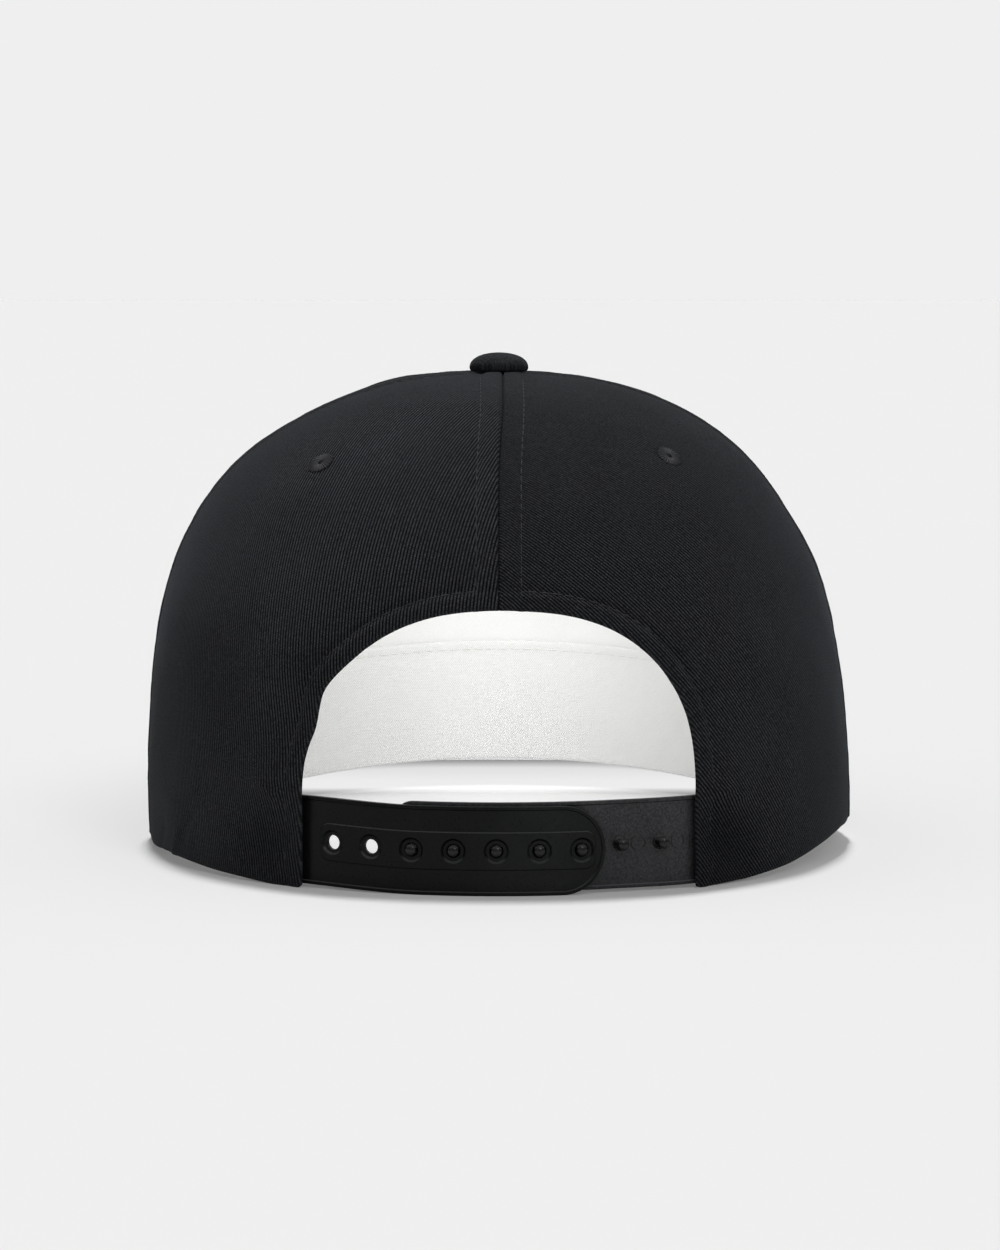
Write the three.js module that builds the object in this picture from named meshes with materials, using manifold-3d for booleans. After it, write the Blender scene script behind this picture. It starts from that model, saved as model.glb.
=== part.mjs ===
// A snapback cap: five cloth panels with a covered button, an arched opening over a snap strap,
// a sweatband and a flat-brimmed visor. Millimetres and degrees, +Z up, the back of the cap at +Y.
// An azimuth is counted around the crown from the middle of the back towards +X, the wearer's left.
// A slope is 0 at the top of the crown and 90 at its rim.
import * as THREE from 'three';
import { mergeVertices } from 'three/addons/utils/BufferGeometryUtils.js';
import Module from 'manifold-3d';

const wasm = await Module();
wasm.setup();

// Driving dimensions
const clearance = 0.3;
const crown = {
  halfWidth: 88.8,
  halfDepth: 98,
  height: 119.2,
  wall: 1.6,
  topHole: 3.4,
  rearSeam: 89,
  frontSeam: 141,
  rimLift: 6.5,
  foldDepth: 1.2,
};
const opening = { halfWidth: 46.6, spring: 22, top: 66, kink: 1.1, squareLeft: 2.25, squareRight: 2.5 };
const visor = {
  length: 70,
  halfWidth: 93,
  thickness: 3.4,
  arch: 9,
  corner: 102,
  widest: 50,
  cornerWidth: 2.5,
  square: 2.5,
  frontAngle: 62,
};
const sweatband = { height: 30, thickness: 1.2, endGap: 2.5, dropWithin: 8 };
const strap = {
  height: 21,
  plate: 1.2,
  beadRise: 0.3,
  beadWidth: 1.1,
  sag: 0.8,
  flatTo: 12,
  tuck: 10,
  pitch: 10.1,
  holeRadius: 1.7,
  firstHole: 26.8,
  holeCount: 7,
  pegCount: 7,
  holesLeftFree: 2,
  tipReach: 5.8,
  trackHeight: 9,
  trackRise: 0.25,
  trackReach: 2.9,
};
const peg = { reach: 3, lift: 0.8, cornerRadius: 4, tipReach: 4.5 };
const eyelet = { outerRadius: 3.15, shankRadius: 1.7, boreRadius: 0.6, rise: 0.6 };
const button = { radius: 7.5, height: 4.6, sideHeight: 2.5 };

// How square the crown is towards each side: in plan as it spreads, and upright as it rises.
const crownForm = {
  back: { spread: 2, rise: 2.9 },
  left: { spread: 2.08, rise: 3.65 },
  front: { spread: 2.4, rise: 4.2 },
  right: { spread: 2.32, rise: 2.93 },
};

// How far the rim stands off the surface, as a share of crown.rimLift.
const rimRows = [
  { azimuth: -84, share: 0.93 },
  { azimuth: -74, share: 1.02 },
  { azimuth: -68, share: 0.9 },
  { azimuth: -63, share: 0.74 },
  { azimuth: -52, share: 0.33 },
  { azimuth: -42, share: 0.07 },
  { azimuth: -34, share: 0 },
  { azimuth: 38, share: 0 },
  { azimuth: 44, share: 0.09 },
  { azimuth: 52, share: 0.18 },
  { azimuth: 60, share: 0.31 },
  { azimuth: 66, share: 0.34 },
  { azimuth: 78, share: 0.16 },
  { azimuth: 84, share: 0.23 },
];

// Folds of the cloth: height and tall as shares of crown.height, push as a share of crown.foldDepth,
// wide in degrees of azimuth.
const folds = [
  { azimuth: 38, height: 0.205, push: 0.9, wide: 6, tall: 0.05 },
  { azimuth: 37, height: 0.08, push: -0.35, wide: 6, tall: 0.08 },
  { azimuth: 33, height: 0.33, push: -0.5, wide: 6, tall: 0.08 },
  { azimuth: 34, height: 0.45, push: 0.5, wide: 7, tall: 0.08 },
  { azimuth: -38, height: 0.2, push: 0.9, wide: 6, tall: 0.05 },
  { azimuth: -41, height: 0.08, push: -0.35, wide: 6, tall: 0.08 },
  { azimuth: 62, height: 0.06, push: 0.6, wide: 6, tall: 0.12 },
  { azimuth: 73, height: 0.1, push: -0.35, wide: 6, tall: 0.1 },
  { azimuth: -78, height: 0.8, push: 0.3, wide: 9, tall: 0.07 },
  { azimuth: -86, height: 0.08, push: 0.25, wide: 24, tall: 0.09 },
  { azimuth: -86, height: 0.43, push: -0.6, wide: 24, tall: 0.17 },
  { azimuth: -86, height: 0.73, push: -0.95, wide: 24, tall: 0.11 },
  { azimuth: 85, height: 0.15, push: 0.3, wide: 20, tall: 0.14 },
  { azimuth: 96, height: 0.895, push: -0.35, wide: 24, tall: 0.045 },
  { azimuth: 108, height: 0.978, push: 0.7, wide: 30, tall: 0.016 },
];

// Waves in the left edge of the opening: height and tall as shares of its arch, push as a share of
// opening.kink, wider open where it is positive.
const openingKinks = [
  { height: 0.36, push: -1, tall: 0.12 },
  { height: 0.58, push: 0.8, tall: 0.1 },
];

const eyeletPlaces = [
  { name: 'eyelet_rear_left', panel: 'rear_panel_left', azimuth: 44.7, slope: 43.2 },
  { name: 'eyelet_rear_right', panel: 'rear_panel_right', azimuth: -44.9, slope: 39.6 },
  { name: 'eyelet_side_left', panel: 'side_panel_left', azimuth: 115, slope: 41 },
  { name: 'eyelet_side_right', panel: 'side_panel_right', azimuth: -115, slope: 41 },
];

const panelPlaces = [
  { name: 'rear_panel_left', from: 0, to: crown.rearSeam, columns: 16 },
  { name: 'rear_panel_right', from: -crown.rearSeam, to: 0, columns: 16 },
  { name: 'side_panel_left', from: crown.rearSeam, to: crown.frontSeam, columns: 9 },
  { name: 'side_panel_right', from: -crown.frontSeam, to: -crown.rearSeam, columns: 9 },
  { name: 'front_panel', from: crown.frontSeam, to: 360 - crown.frontSeam, columns: 14 },
];

const radians = THREE.MathUtils.degToRad;
const degrees = THREE.MathUtils.radToDeg;

// Crown surface

function signedAzimuth(azimuth) {
  return THREE.MathUtils.euclideanModulo(azimuth + 180, 360) - 180;
}

function formTowards(azimuth) {
  const across = Math.sin(radians(azimuth));
  const along = Math.cos(radians(azimuth));
  const sides = [
    { form: crownForm.back, weight: Math.max(along, 0) ** 2 },
    { form: crownForm.front, weight: Math.max(-along, 0) ** 2 },
    { form: crownForm.left, weight: Math.max(across, 0) ** 2 },
    { form: crownForm.right, weight: Math.max(-across, 0) ** 2 },
  ];
  const blended = (key) => sides.reduce((sum, side) => sum + side.weight * side.form[key], 0);
  return { spread: blended('spread'), rise: blended('rise') };
}

function visorTop(x) {
  return visor.thickness + visor.arch * (1 - (x / visor.halfWidth) ** 2);
}

function rimShare(azimuth) {
  const last = rimRows.length - 1;
  if (azimuth <= rimRows[0].azimuth) return rimRows[0].share;
  if (azimuth >= rimRows[last].azimuth) return rimRows[last].share;
  const index = rimRows.findIndex((row) => row.azimuth > azimuth);
  const low = rimRows[index - 1];
  const high = rimRows[index];
  const along = (azimuth - low.azimuth) / (high.azimuth - low.azimuth);
  return THREE.MathUtils.lerp(low.share, high.share, along);
}

// The rim stands where the cloth leaves it, and on the visor in front of the visor's corners.
function rimHeight(azimuth) {
  const signed = signedAzimuth(azimuth);
  const innerX = (crown.halfWidth - crown.wall) * Math.sin(radians(Math.max(Math.abs(signed), visor.corner)));
  const onVisor = visorTop(innerX) + clearance;
  const joined = THREE.MathUtils.smoothstep(Math.abs(signed), rimRows.at(-1).azimuth, visor.corner);
  return THREE.MathUtils.lerp(crown.rimLift * rimShare(signed), onVisor, joined);
}

function smoothCrownPoint(azimuth, slope) {
  const form = formTowards(azimuth);
  const spread = Math.sin(radians(slope)) ** (2 / form.spread);
  const rim = rimHeight(azimuth);
  return new THREE.Vector3(
    crown.halfWidth * Math.sin(radians(azimuth)) * spread,
    crown.halfDepth * Math.cos(radians(azimuth)) * spread,
    rim + (crown.height - rim) * Math.max(Math.cos(radians(slope)), 0) ** (2 / form.rise),
  );
}

// The outward direction of the cloth, which stands upright at the rim.
function crownNormal(azimuth, slope) {
  const step = 0.5;
  const across = smoothCrownPoint(azimuth + step, slope).sub(smoothCrownPoint(azimuth - step, slope));
  const lower = smoothCrownPoint(azimuth, Math.min(slope + step, 90));
  const down = lower.sub(smoothCrownPoint(azimuth, slope - step));
  const normal = across.cross(down);
  if (slope > 90 - step / 10) normal.setZ(0);
  return normal.normalize();
}

function foldPush(azimuth, z, rows) {
  const push = rows.reduce((sum, fold) => {
    const across = signedAzimuth(azimuth - fold.azimuth) / fold.wide;
    const up = (z / crown.height - fold.height) / fold.tall;
    return sum + fold.push * Math.exp(-(across ** 2) - up ** 2);
  }, 0);
  return crown.foldDepth * push;
}

// A point of the crown's cloth at a depth inside its outer face, pushed in and out by its folds.
function crownPoint(azimuth, slope, depth, rows = folds) {
  const point = smoothCrownPoint(azimuth, slope);
  return point.addScaledVector(crownNormal(azimuth, slope), foldPush(azimuth, point.z, rows) - depth);
}

function slopeAtHeight(azimuth, z) {
  const rim = rimHeight(azimuth);
  const share = THREE.MathUtils.clamp((z - rim) / (crown.height - rim), 0, 1);
  return degrees(Math.acos(share ** (formTowards(azimuth).rise / 2)));
}

// Slopes at even steps of length down the crown, from the edge of the top hole to the rim.
function evenSlopes(azimuth, count) {
  const samples = 120;
  const form = formTowards(azimuth);
  const first = degrees(Math.asin((crown.topHole / crown.halfWidth) ** (form.spread / 2)));
  const slopes = Array.from({ length: samples + 1 }, (_, index) => first + ((90 - first) * index) / samples);
  const lengths = [0];
  for (let index = 1; index <= samples; index += 1) {
    const here = smoothCrownPoint(azimuth, slopes[index]);
    lengths.push(lengths[index - 1] + here.distanceTo(smoothCrownPoint(azimuth, slopes[index - 1])));
  }
  return Array.from({ length: count + 1 }, (_, row) => {
    const wanted = (lengths[samples] * row) / count;
    const index = Math.max(1, lengths.findIndex((length) => length >= wanted - 1e-9));
    const along = (wanted - lengths[index - 1]) / (lengths[index] - lengths[index - 1]);
    return THREE.MathUtils.lerp(slopes[index - 1], slopes[index], along);
  });
}

// Solids

function solidFromGeometry(geometry) {
  const bare = geometry.clone();
  bare.deleteAttribute('normal');
  bare.deleteAttribute('uv');
  const merged = mergeVertices(bare, 1e-4);
  return new wasm.Manifold(
    new wasm.Mesh({
      numProp: 3,
      vertProperties: new Float32Array(merged.attributes.position.array),
      triVerts: new Uint32Array(merged.index.array),
    }),
  );
}

function geometryFromSolid(solid) {
  const { vertProperties, triVerts } = solid.getMesh();
  const geometry = new THREE.BufferGeometry();
  geometry.setAttribute('position', new THREE.BufferAttribute(new Float32Array(vertProperties), 3));
  geometry.setIndex(new THREE.BufferAttribute(new Uint32Array(triVerts), 1));
  return geometry;
}

function cut(geometry, tools) {
  const solid = tools.reduce((left, tool) => left.subtract(solidFromGeometry(tool)), solidFromGeometry(geometry));
  return geometryFromSolid(solid);
}

function join(geometries) {
  const solids = geometries.map(solidFromGeometry);
  return geometryFromSolid(solids.reduce((whole, solid) => whole.add(solid)));
}

// A closed wall between two grids of points of the same size. The outer grid faces away from the wall
// where its rows run down and its columns run towards a rising azimuth.
function wallBetween(outer, inner) {
  const rows = outer.length;
  const columns = outer[0].length;
  const positions = [...outer.flat(), ...inner.flat()].flatMap((point) => point.toArray());
  const index = [];
  const at = (row, column, layer) => layer * rows * columns + row * columns + column;
  const quad = (a, b, c, d) => index.push(a, b, c, a, c, d);
  for (let row = 0; row < rows - 1; row += 1) {
    for (let column = 0; column < columns - 1; column += 1) {
      const corners = [[row, column], [row, column + 1], [row + 1, column + 1], [row + 1, column]];
      quad(...corners.map(([r, c]) => at(r, c, 0)));
      quad(...corners.map(([r, c]) => at(r, c, 1)).reverse());
    }
  }
  for (let column = 0; column < columns - 1; column += 1) {
    quad(at(0, column, 0), at(0, column, 1), at(0, column + 1, 1), at(0, column + 1, 0));
    quad(at(rows - 1, column + 1, 0), at(rows - 1, column + 1, 1), at(rows - 1, column, 1), at(rows - 1, column, 0));
  }
  for (let row = 0; row < rows - 1; row += 1) {
    quad(at(row + 1, 0, 0), at(row + 1, 0, 1), at(row, 0, 1), at(row, 0, 0));
    quad(at(row, columns - 1, 0), at(row, columns - 1, 1), at(row + 1, columns - 1, 1), at(row + 1, columns - 1, 0));
  }
  const geometry = new THREE.BufferGeometry();
  geometry.setAttribute('position', new THREE.Float32BufferAttribute(positions, 3));
  geometry.setIndex(index);
  return geometry;
}

// Turns and moves a geometry so that its +Y points along the direction at the place.
function standOn(geometry, place, direction) {
  const turn = new THREE.Quaternion().setFromUnitVectors(new THREE.Vector3(0, 1, 0), direction);
  return geometry.applyQuaternion(turn).translate(place.x, place.y, place.z);
}

// A round solid along +Y from a list of radius and height pairs.
function turned(profile, segments) {
  return new THREE.LatheGeometry(profile.map(([radius, y]) => new THREE.Vector2(radius, y)), segments);
}

// Crown panels

// A point of the opening's edge, from its springing at share 0 to its top at share 1.
function openingEdge(share, side) {
  const square = side > 0 ? opening.squareLeft : opening.squareRight;
  const angle = (Math.PI / 2) * share;
  const rise = Math.sin(angle) ** (2 / square);
  const kinks = side > 0 ? openingKinks : [];
  const wave = kinks.reduce((sum, kink) => sum + kink.push * Math.exp(-(((rise - kink.height) / kink.tall) ** 2)), 0);
  const x = opening.halfWidth * Math.cos(angle) ** (2 / square) + opening.kink * wave;
  return new THREE.Vector2(side * x, opening.spring + (opening.top - opening.spring) * rise);
}

function openingOutline() {
  const steps = 20;
  const below = -crown.height;
  const left = Array.from({ length: steps + 1 }, (_, step) => openingEdge(step / steps, 1));
  const right = Array.from({ length: steps }, (_, step) => openingEdge(step / steps, -1)).reverse();
  const foot = (side) => new THREE.Vector2(side * opening.halfWidth, below);
  return [foot(1), ...left, ...right, foot(-1)];
}

// The opening as a block that runs through the back of the crown.
function openingTool() {
  const block = new THREE.ExtrudeGeometry(new THREE.Shape(openingOutline()), {
    depth: crown.halfDepth,
    bevelEnabled: false,
  });
  return block.rotateX(Math.PI / 2).translate(0, crown.halfDepth * 1.5, 0);
}

function eyeletTool(place) {
  const radius = eyelet.shankRadius + clearance;
  const reach = crown.wall * 2;
  const drill = turned([[0, -reach], [radius, -reach], [radius, reach], [0, reach]], 12);
  const point = crownPoint(place.azimuth, place.slope, 0);
  return standOn(drill, point, crownNormal(place.azimuth, place.slope));
}

function panel({ name, from, to, columns }) {
  const rows = 16;
  const gridAt = (depth) => {
    const byColumn = Array.from({ length: columns + 1 }, (_, column) => {
      const azimuth = THREE.MathUtils.lerp(from, to, column / columns);
      const inwards = (column === 0) - (column === columns);
      const seam = new THREE.Vector3(Math.cos(radians(azimuth)), -Math.sin(radians(azimuth)), 0);
      return evenSlopes(azimuth, rows).map((slope) =>
        crownPoint(azimuth, slope, depth).addScaledVector(seam, (inwards * clearance) / 2),
      );
    });
    return byColumn[0].map((_, row) => byColumn.map((column) => column[row]));
  };
  const tools = eyeletPlaces.filter((place) => place.panel === name).map(eyeletTool);
  if (name.startsWith('rear')) tools.push(openingTool());
  return cut(wallBetween(gridAt(0), gridAt(crown.wall)), tools);
}

function eyeletRing(place) {
  const base = clearance;
  const top = clearance + eyelet.rise;
  const foot = -crown.wall;
  const profile = [
    [eyelet.boreRadius, foot],
    [eyelet.shankRadius, foot],
    [eyelet.shankRadius, base],
    [eyelet.outerRadius, base],
    [eyelet.outerRadius * 0.8, top],
    [eyelet.boreRadius, base],
    [eyelet.boreRadius, foot],
  ];
  const point = crownPoint(place.azimuth, place.slope, 0);
  return standOn(turned(profile, 12), point, crownNormal(place.azimuth, place.slope));
}

function buttonSolid() {
  const shank = crown.topHole - clearance;
  const base = clearance;
  const profile = [
    [0, -crown.wall - clearance],
    [shank, -crown.wall - clearance],
    [shank, base],
    [button.radius * 0.96, base],
    [button.radius, base + button.sideHeight * 0.4],
    [button.radius * 0.92, base + button.sideHeight],
    [button.radius * 0.62, base + button.height * 0.88],
    [0, base + button.height],
  ];
  return turned(profile, 24).rotateX(Math.PI / 2).translate(0, 0, crown.height);
}

// Visor

// Half the outline of the visor, from its front to its corner, at an angle from the front.
function visorOutline(angle, innerCorner) {
  const side = Math.sign(angle);
  const reach = Math.abs(angle);
  if (reach <= visor.frontAngle) {
    const share = (Math.PI / 2) * (reach / visor.frontAngle);
    const front = crown.halfDepth + visor.length - visor.widest;
    const x = visor.halfWidth * Math.sin(share) ** (2 / visor.square);
    const y = visor.widest + front * Math.cos(share) ** (2 / visor.square);
    return new THREE.Vector2(side * x, -y);
  }
  const back = (reach - visor.frontAngle) / (180 - visor.corner - visor.frontAngle);
  const cornerX = Math.abs(innerCorner.x) + visor.cornerWidth;
  const x = THREE.MathUtils.lerp(visor.halfWidth, cornerX, back ** 2);
  const y = THREE.MathUtils.lerp(-visor.widest, innerCorner.y, back);
  return new THREE.Vector2(side * x, y);
}

function visorSolid() {
  const columns = 32;
  const rows = 5;
  const spread = 180 - visor.corner;
  const underCloth = (angle) => new THREE.Vector2(
    (crown.halfWidth - crown.wall) * Math.sin(radians(angle)),
    -(crown.halfDepth - crown.wall) * Math.cos(radians(angle)),
  );
  const corner = underCloth(spread);
  const gridAt = (depth) => Array.from({ length: rows + 1 }, (_, row) =>
    Array.from({ length: columns + 1 }, (_, column) => {
      const angle = THREE.MathUtils.lerp(spread, -spread, column / columns);
      const place = underCloth(angle).lerp(visorOutline(angle, corner), row / rows);
      return new THREE.Vector3(place.x, place.y, visorTop(place.x) - depth);
    }),
  );
  return wallBetween(gridAt(0), gridAt(visor.thickness));
}

// Straps and sweatband

const strapDepth = crown.wall + clearance;
const strapThickness = strap.plate + strap.beadRise;
const pegStrapDepth = strapDepth + strapThickness + clearance;
const openingAzimuth = degrees(Math.asin(opening.halfWidth / crown.halfWidth));

// The azimuth that lies a length further along the rim towards a falling azimuth.
function azimuthAlong(azimuth, length) {
  const step = 0.05;
  const direction = Math.sign(length);
  let left = Math.abs(length);
  let here = azimuth;
  while (left > 0) {
    const across = (crown.halfWidth - strapDepth) * Math.cos(radians(here));
    const along = (crown.halfDepth - strapDepth) * Math.sin(radians(here));
    left -= Math.hypot(across, along) * radians(step);
    here -= direction * step;
  }
  return here;
}

const holeAzimuths = Array.from({ length: strap.holeCount }, (_, index) =>
  azimuthAlong(strap.firstHole, strap.pitch * index),
);
const pegAzimuths = Array.from({ length: strap.pegCount }, (_, index) =>
  azimuthAlong(strap.firstHole, strap.pitch * (index + strap.holesLeftFree)),
);
const holeStrapTip = azimuthAlong(holeAzimuths.at(-1), strap.tipReach);

// How far the strap's lower edge rises towards the ends of the opening.
function strapFoot(azimuth) {
  return strap.sag * THREE.MathUtils.smoothstep(Math.abs(azimuth), strap.flatTo, openingAzimuth);
}

// The peg strap runs behind the hole strap, then comes out to the cloth at its sewn end.
function pegStrapFace(azimuth) {
  const out = THREE.MathUtils.smoothstep(-azimuth, -holeStrapTip + 1, openingAzimuth);
  return THREE.MathUtils.lerp(pegStrapDepth, strapDepth, out);
}

// What lies behind the cloth gives way to its dents and doesn't follow its ridges.
function pointBehindCloth(azimuth, z, depth) {
  const dents = folds.filter((fold) => fold.push < 0);
  return crownPoint(azimuth, slopeAtHeight(azimuth, z), depth, dents);
}

// A strap from one azimuth to another, with a bead along both edges of its outer face.
function strapBlank(from, to, footAt, depthAt) {
  const columns = 26;
  const slant = strap.beadRise * 0.8;
  const rows = [
    { up: strap.height, sunk: 0 },
    { up: strap.height - strap.beadWidth, sunk: 0 },
    { up: strap.height - strap.beadWidth - slant, sunk: strap.beadRise },
    { up: strap.beadWidth + slant, sunk: strap.beadRise },
    { up: strap.beadWidth, sunk: 0 },
    { up: 0, sunk: 0 },
  ];
  const gridAt = (depthOf) => rows.map((row) =>
    Array.from({ length: columns + 1 }, (_, column) => {
      const azimuth = THREE.MathUtils.lerp(from, to, column / columns);
      return pointBehindCloth(azimuth, footAt(azimuth) + row.up, depthAt(azimuth) + depthOf(row));
    }),
  );
  return wallBetween(gridAt((row) => row.sunk), gridAt(() => strapThickness));
}

// Cuts the corners off a strap's end: the tool's x runs along the strap to its tip.
function endTool(azimuth, direction, radius, footAt, depthAt) {
  const half = strap.height / 2;
  const past = 2;
  const outline = new THREE.Shape();
  outline.moveTo(0, half + past);
  outline.lineTo(0, half);
  outline.absarc(0, half - radius, radius, Math.PI / 2, 0, true);
  outline.absarc(0, radius - half, radius, 0, -Math.PI / 2, true);
  outline.lineTo(0, -half - past);
  outline.lineTo(radius + past, -half - past);
  outline.lineTo(radius + past, half + past);
  const depth = strapThickness * 4;
  const block = new THREE.ExtrudeGeometry(outline, { depth, bevelEnabled: false, curveSegments: 8 });
  block.translate(0, 0, -depth / 2);
  const root = azimuthAlong(azimuth, -direction * radius);
  const middle = pointBehindCloth(root, footAt(root) + half, depthAt(root) + strapThickness / 2);
  const tip = pointBehindCloth(azimuth, footAt(azimuth) + half, depthAt(azimuth) + strapThickness / 2);
  const along = tip.clone().sub(middle).setZ(0).normalize();
  const up = new THREE.Vector3(0, 0, 1);
  const frame = new THREE.Matrix4().makeBasis(along, up, along.clone().cross(up));
  return block.applyMatrix4(frame).translate(middle.x, middle.y, middle.z);
}

function holeHeight(azimuth) {
  return strapFoot(azimuth) + strap.height / 2;
}

function holeStrap() {
  const from = holeStrapTip;
  const to = azimuthAlong(openingAzimuth, -strap.tuck);
  const depthAt = () => strapDepth;
  const drills = holeAzimuths.map((azimuth) => {
    const reach = strapThickness * 3;
    const radius = strap.holeRadius;
    const drill = turned([[0, -reach], [radius, -reach], [radius, reach], [0, reach]], 12);
    const point = pointBehindCloth(azimuth, holeHeight(azimuth), strapDepth);
    return standOn(drill, point, crownNormal(azimuth, 90));
  });
  const trackColumns = 18;
  const trackFrom = azimuthAlong(holeAzimuths.at(-1), strap.trackReach);
  const trackTo = azimuthAlong(holeAzimuths[0], -strap.trackReach);
  const trackGrid = (depth) => [0.5, -0.5].map((share) =>
    Array.from({ length: trackColumns + 1 }, (_, column) => {
      const azimuth = THREE.MathUtils.lerp(trackFrom, trackTo, column / trackColumns);
      return pointBehindCloth(azimuth, holeHeight(azimuth) + share * strap.trackHeight, depth);
    }),
  );
  const plateFace = strapDepth + strap.beadRise;
  const track = wallBetween(trackGrid(plateFace - strap.trackRise), trackGrid(plateFace + strap.plate / 2));
  const tip = endTool(from, 1, strap.height / 2, strapFoot, depthAt);
  return cut(join([strapBlank(from, to, strapFoot, depthAt), track]), [tip, ...drills]);
}

function pegStrap() {
  const from = azimuthAlong(-openingAzimuth, strap.tuck);
  const to = azimuthAlong(pegAzimuths[0], -peg.tipReach);
  const footAt = () => peg.lift;
  const blank = strapBlank(from, to, footAt, pegStrapFace);
  const trimmed = cut(blank, [endTool(to, -1, peg.cornerRadius, footAt, pegStrapFace)]);
  const radius = strap.holeRadius - clearance;
  const pegs = pegAzimuths.map((azimuth) => {
    const engaged = azimuth > holeStrapTip;
    const z = engaged ? holeHeight(azimuth) : peg.lift + strap.height / 2;
    const face = pegStrapFace(azimuth) + strap.beadRise;
    const profile = [
      [0, -strap.plate / 2],
      [radius, -strap.plate / 2],
      [radius, peg.reach * 0.75],
      [radius * 0.6, peg.reach * 0.97],
      [0, peg.reach],
    ];
    return standOn(turned(profile, 12), pointBehindCloth(azimuth, z, face), crownNormal(azimuth, 90));
  });
  return join([trimmed, ...pegs]);
}

// The band lies against the cloth, and behind the sewn ends of the straps near the opening.
function sweatbandDepth(azimuth) {
  const side = Math.abs(signedAzimuth(azimuth));
  const strapEnd = Math.abs(azimuthAlong(-openingAzimuth, strap.tuck));
  const free = THREE.MathUtils.smoothstep(side, strapEnd + 1, strapEnd + 9);
  const behindStrap = pegStrapDepth;
  return THREE.MathUtils.lerp(behindStrap, strapDepth, free);
}

// Its lower edge follows the rim, and drops in front to cover the inner edge of the visor.
function sweatbandFoot(azimuth) {
  const side = Math.abs(signedAzimuth(azimuth));
  const dropped = THREE.MathUtils.smoothstep(side, visor.corner, visor.corner + sweatband.dropWithin);
  return rimHeight(azimuth) - dropped * (visor.thickness + clearance);
}

function sweatbandSolid() {
  const columns = 62;
  const start = openingAzimuth + sweatband.endGap;
  const gridAt = (extra) => [1, 0.66, 0.33, 0].map((share) =>
    Array.from({ length: columns + 1 }, (_, column) => {
      const azimuth = THREE.MathUtils.lerp(start, 360 - start, column / columns);
      const z = THREE.MathUtils.lerp(sweatbandFoot(azimuth), rimHeight(azimuth) + sweatband.height, share);
      const point = pointBehindCloth(azimuth, z, sweatbandDepth(azimuth) + extra);
      return point.setZ(Math.min(point.z, z));
    }),
  );
  return wallBetween(gridAt(0), gridAt(sweatband.thickness));
}

// Materials and assembly

const twill = new THREE.MeshStandardMaterial({ color: 0x1d1e22, roughness: 0.9, metalness: 0 });
const thread = new THREE.MeshStandardMaterial({ color: 0x1a1b1e, roughness: 0.7, metalness: 0 });
const bandCloth = new THREE.MeshStandardMaterial({ color: 0xd8d8d4, roughness: 0.9, metalness: 0 });
const strapPlastic = new THREE.MeshStandardMaterial({ color: 0x17191a, roughness: 0.35, metalness: 0 });
const pegPlastic = new THREE.MeshStandardMaterial({ color: 0x222427, roughness: 0.45, metalness: 0 });

const cap = new THREE.Group();

function add(name, geometry, material) {
  const mesh = new THREE.Mesh(geometry, material);
  mesh.name = name;
  cap.add(mesh);
}

panelPlaces.forEach((place) => add(place.name, panel(place), twill));
eyeletPlaces.forEach((place) => add(place.name, eyeletRing(place), thread));
add('button', buttonSolid(), twill);
add('visor', visorSolid(), twill);
add('sweatband', sweatbandSolid(), bandCloth);
add('hole_strap', holeStrap(), strapPlastic);
add('peg_strap', pegStrap(), pegPlastic);

// The origin lies on the surface under the middle of the whole cap, from the visor's edge to the pegs.
const pegTipDepth = pegStrapDepth + strap.beadRise - peg.reach;
cap.position.y = (visor.length + pegTipDepth) / 2;

export default cap;
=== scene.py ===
import math

import bpy
import numpy as np
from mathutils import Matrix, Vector, noise


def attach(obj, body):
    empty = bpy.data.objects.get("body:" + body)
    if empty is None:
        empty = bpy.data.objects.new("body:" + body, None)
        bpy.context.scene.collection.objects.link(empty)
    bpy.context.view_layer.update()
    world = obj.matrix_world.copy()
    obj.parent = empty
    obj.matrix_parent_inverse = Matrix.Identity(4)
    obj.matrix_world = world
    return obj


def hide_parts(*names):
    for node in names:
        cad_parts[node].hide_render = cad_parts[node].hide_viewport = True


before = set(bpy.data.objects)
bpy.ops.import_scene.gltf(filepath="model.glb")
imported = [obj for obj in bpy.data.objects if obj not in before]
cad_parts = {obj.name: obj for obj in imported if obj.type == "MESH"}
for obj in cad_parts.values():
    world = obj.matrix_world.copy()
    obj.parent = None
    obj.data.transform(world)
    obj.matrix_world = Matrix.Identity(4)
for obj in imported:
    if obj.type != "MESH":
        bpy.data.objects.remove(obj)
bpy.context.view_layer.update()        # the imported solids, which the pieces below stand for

# A snapback cap seen from the back: +Y is the back, +X the wearer's left, +Z up.
# Sizes are in millimetres and degrees until toMetres turns them into the frame's metres.
rowShift = 35.5
milli = 0.001
scene = bpy.context.scene
scene.view_settings.view_transform = "Standard"


def report(text):
    print("cap:", text)


def toMetres(points):
    return (np.asarray(points, float) + (0, rowShift, 0)) * milli


# Camera, at the photograph's angle

view = {"distance": 1000, "elevation": 5, "target": (-0.28, 0, 54.8), "sensor": 36, "focalShare": 3.136,
        "farthest": 100}


def addCamera():
    lift = math.radians(view["elevation"])
    away = Vector((0, math.cos(lift), math.sin(lift)))
    place = Vector(toMetres(view["target"])) + away * view["distance"] * milli
    bpy.ops.object.camera_add(location=place)
    camera = bpy.context.object
    camera.rotation_euler = away.to_track_quat("Z", "Y").to_euler()
    camera.data.sensor_fit = "VERTICAL"
    camera.data.sensor_height = view["sensor"]
    camera.data.lens = view["sensor"] * view["focalShare"]
    camera.data.clip_end = view["farthest"]
    scene.camera = camera


addCamera()

# Crown surface, the same as the solids have. An azimuth is counted from the middle of the back
# towards the wearer's left, and a share runs down the cloth from the top hole to the rim.

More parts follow.
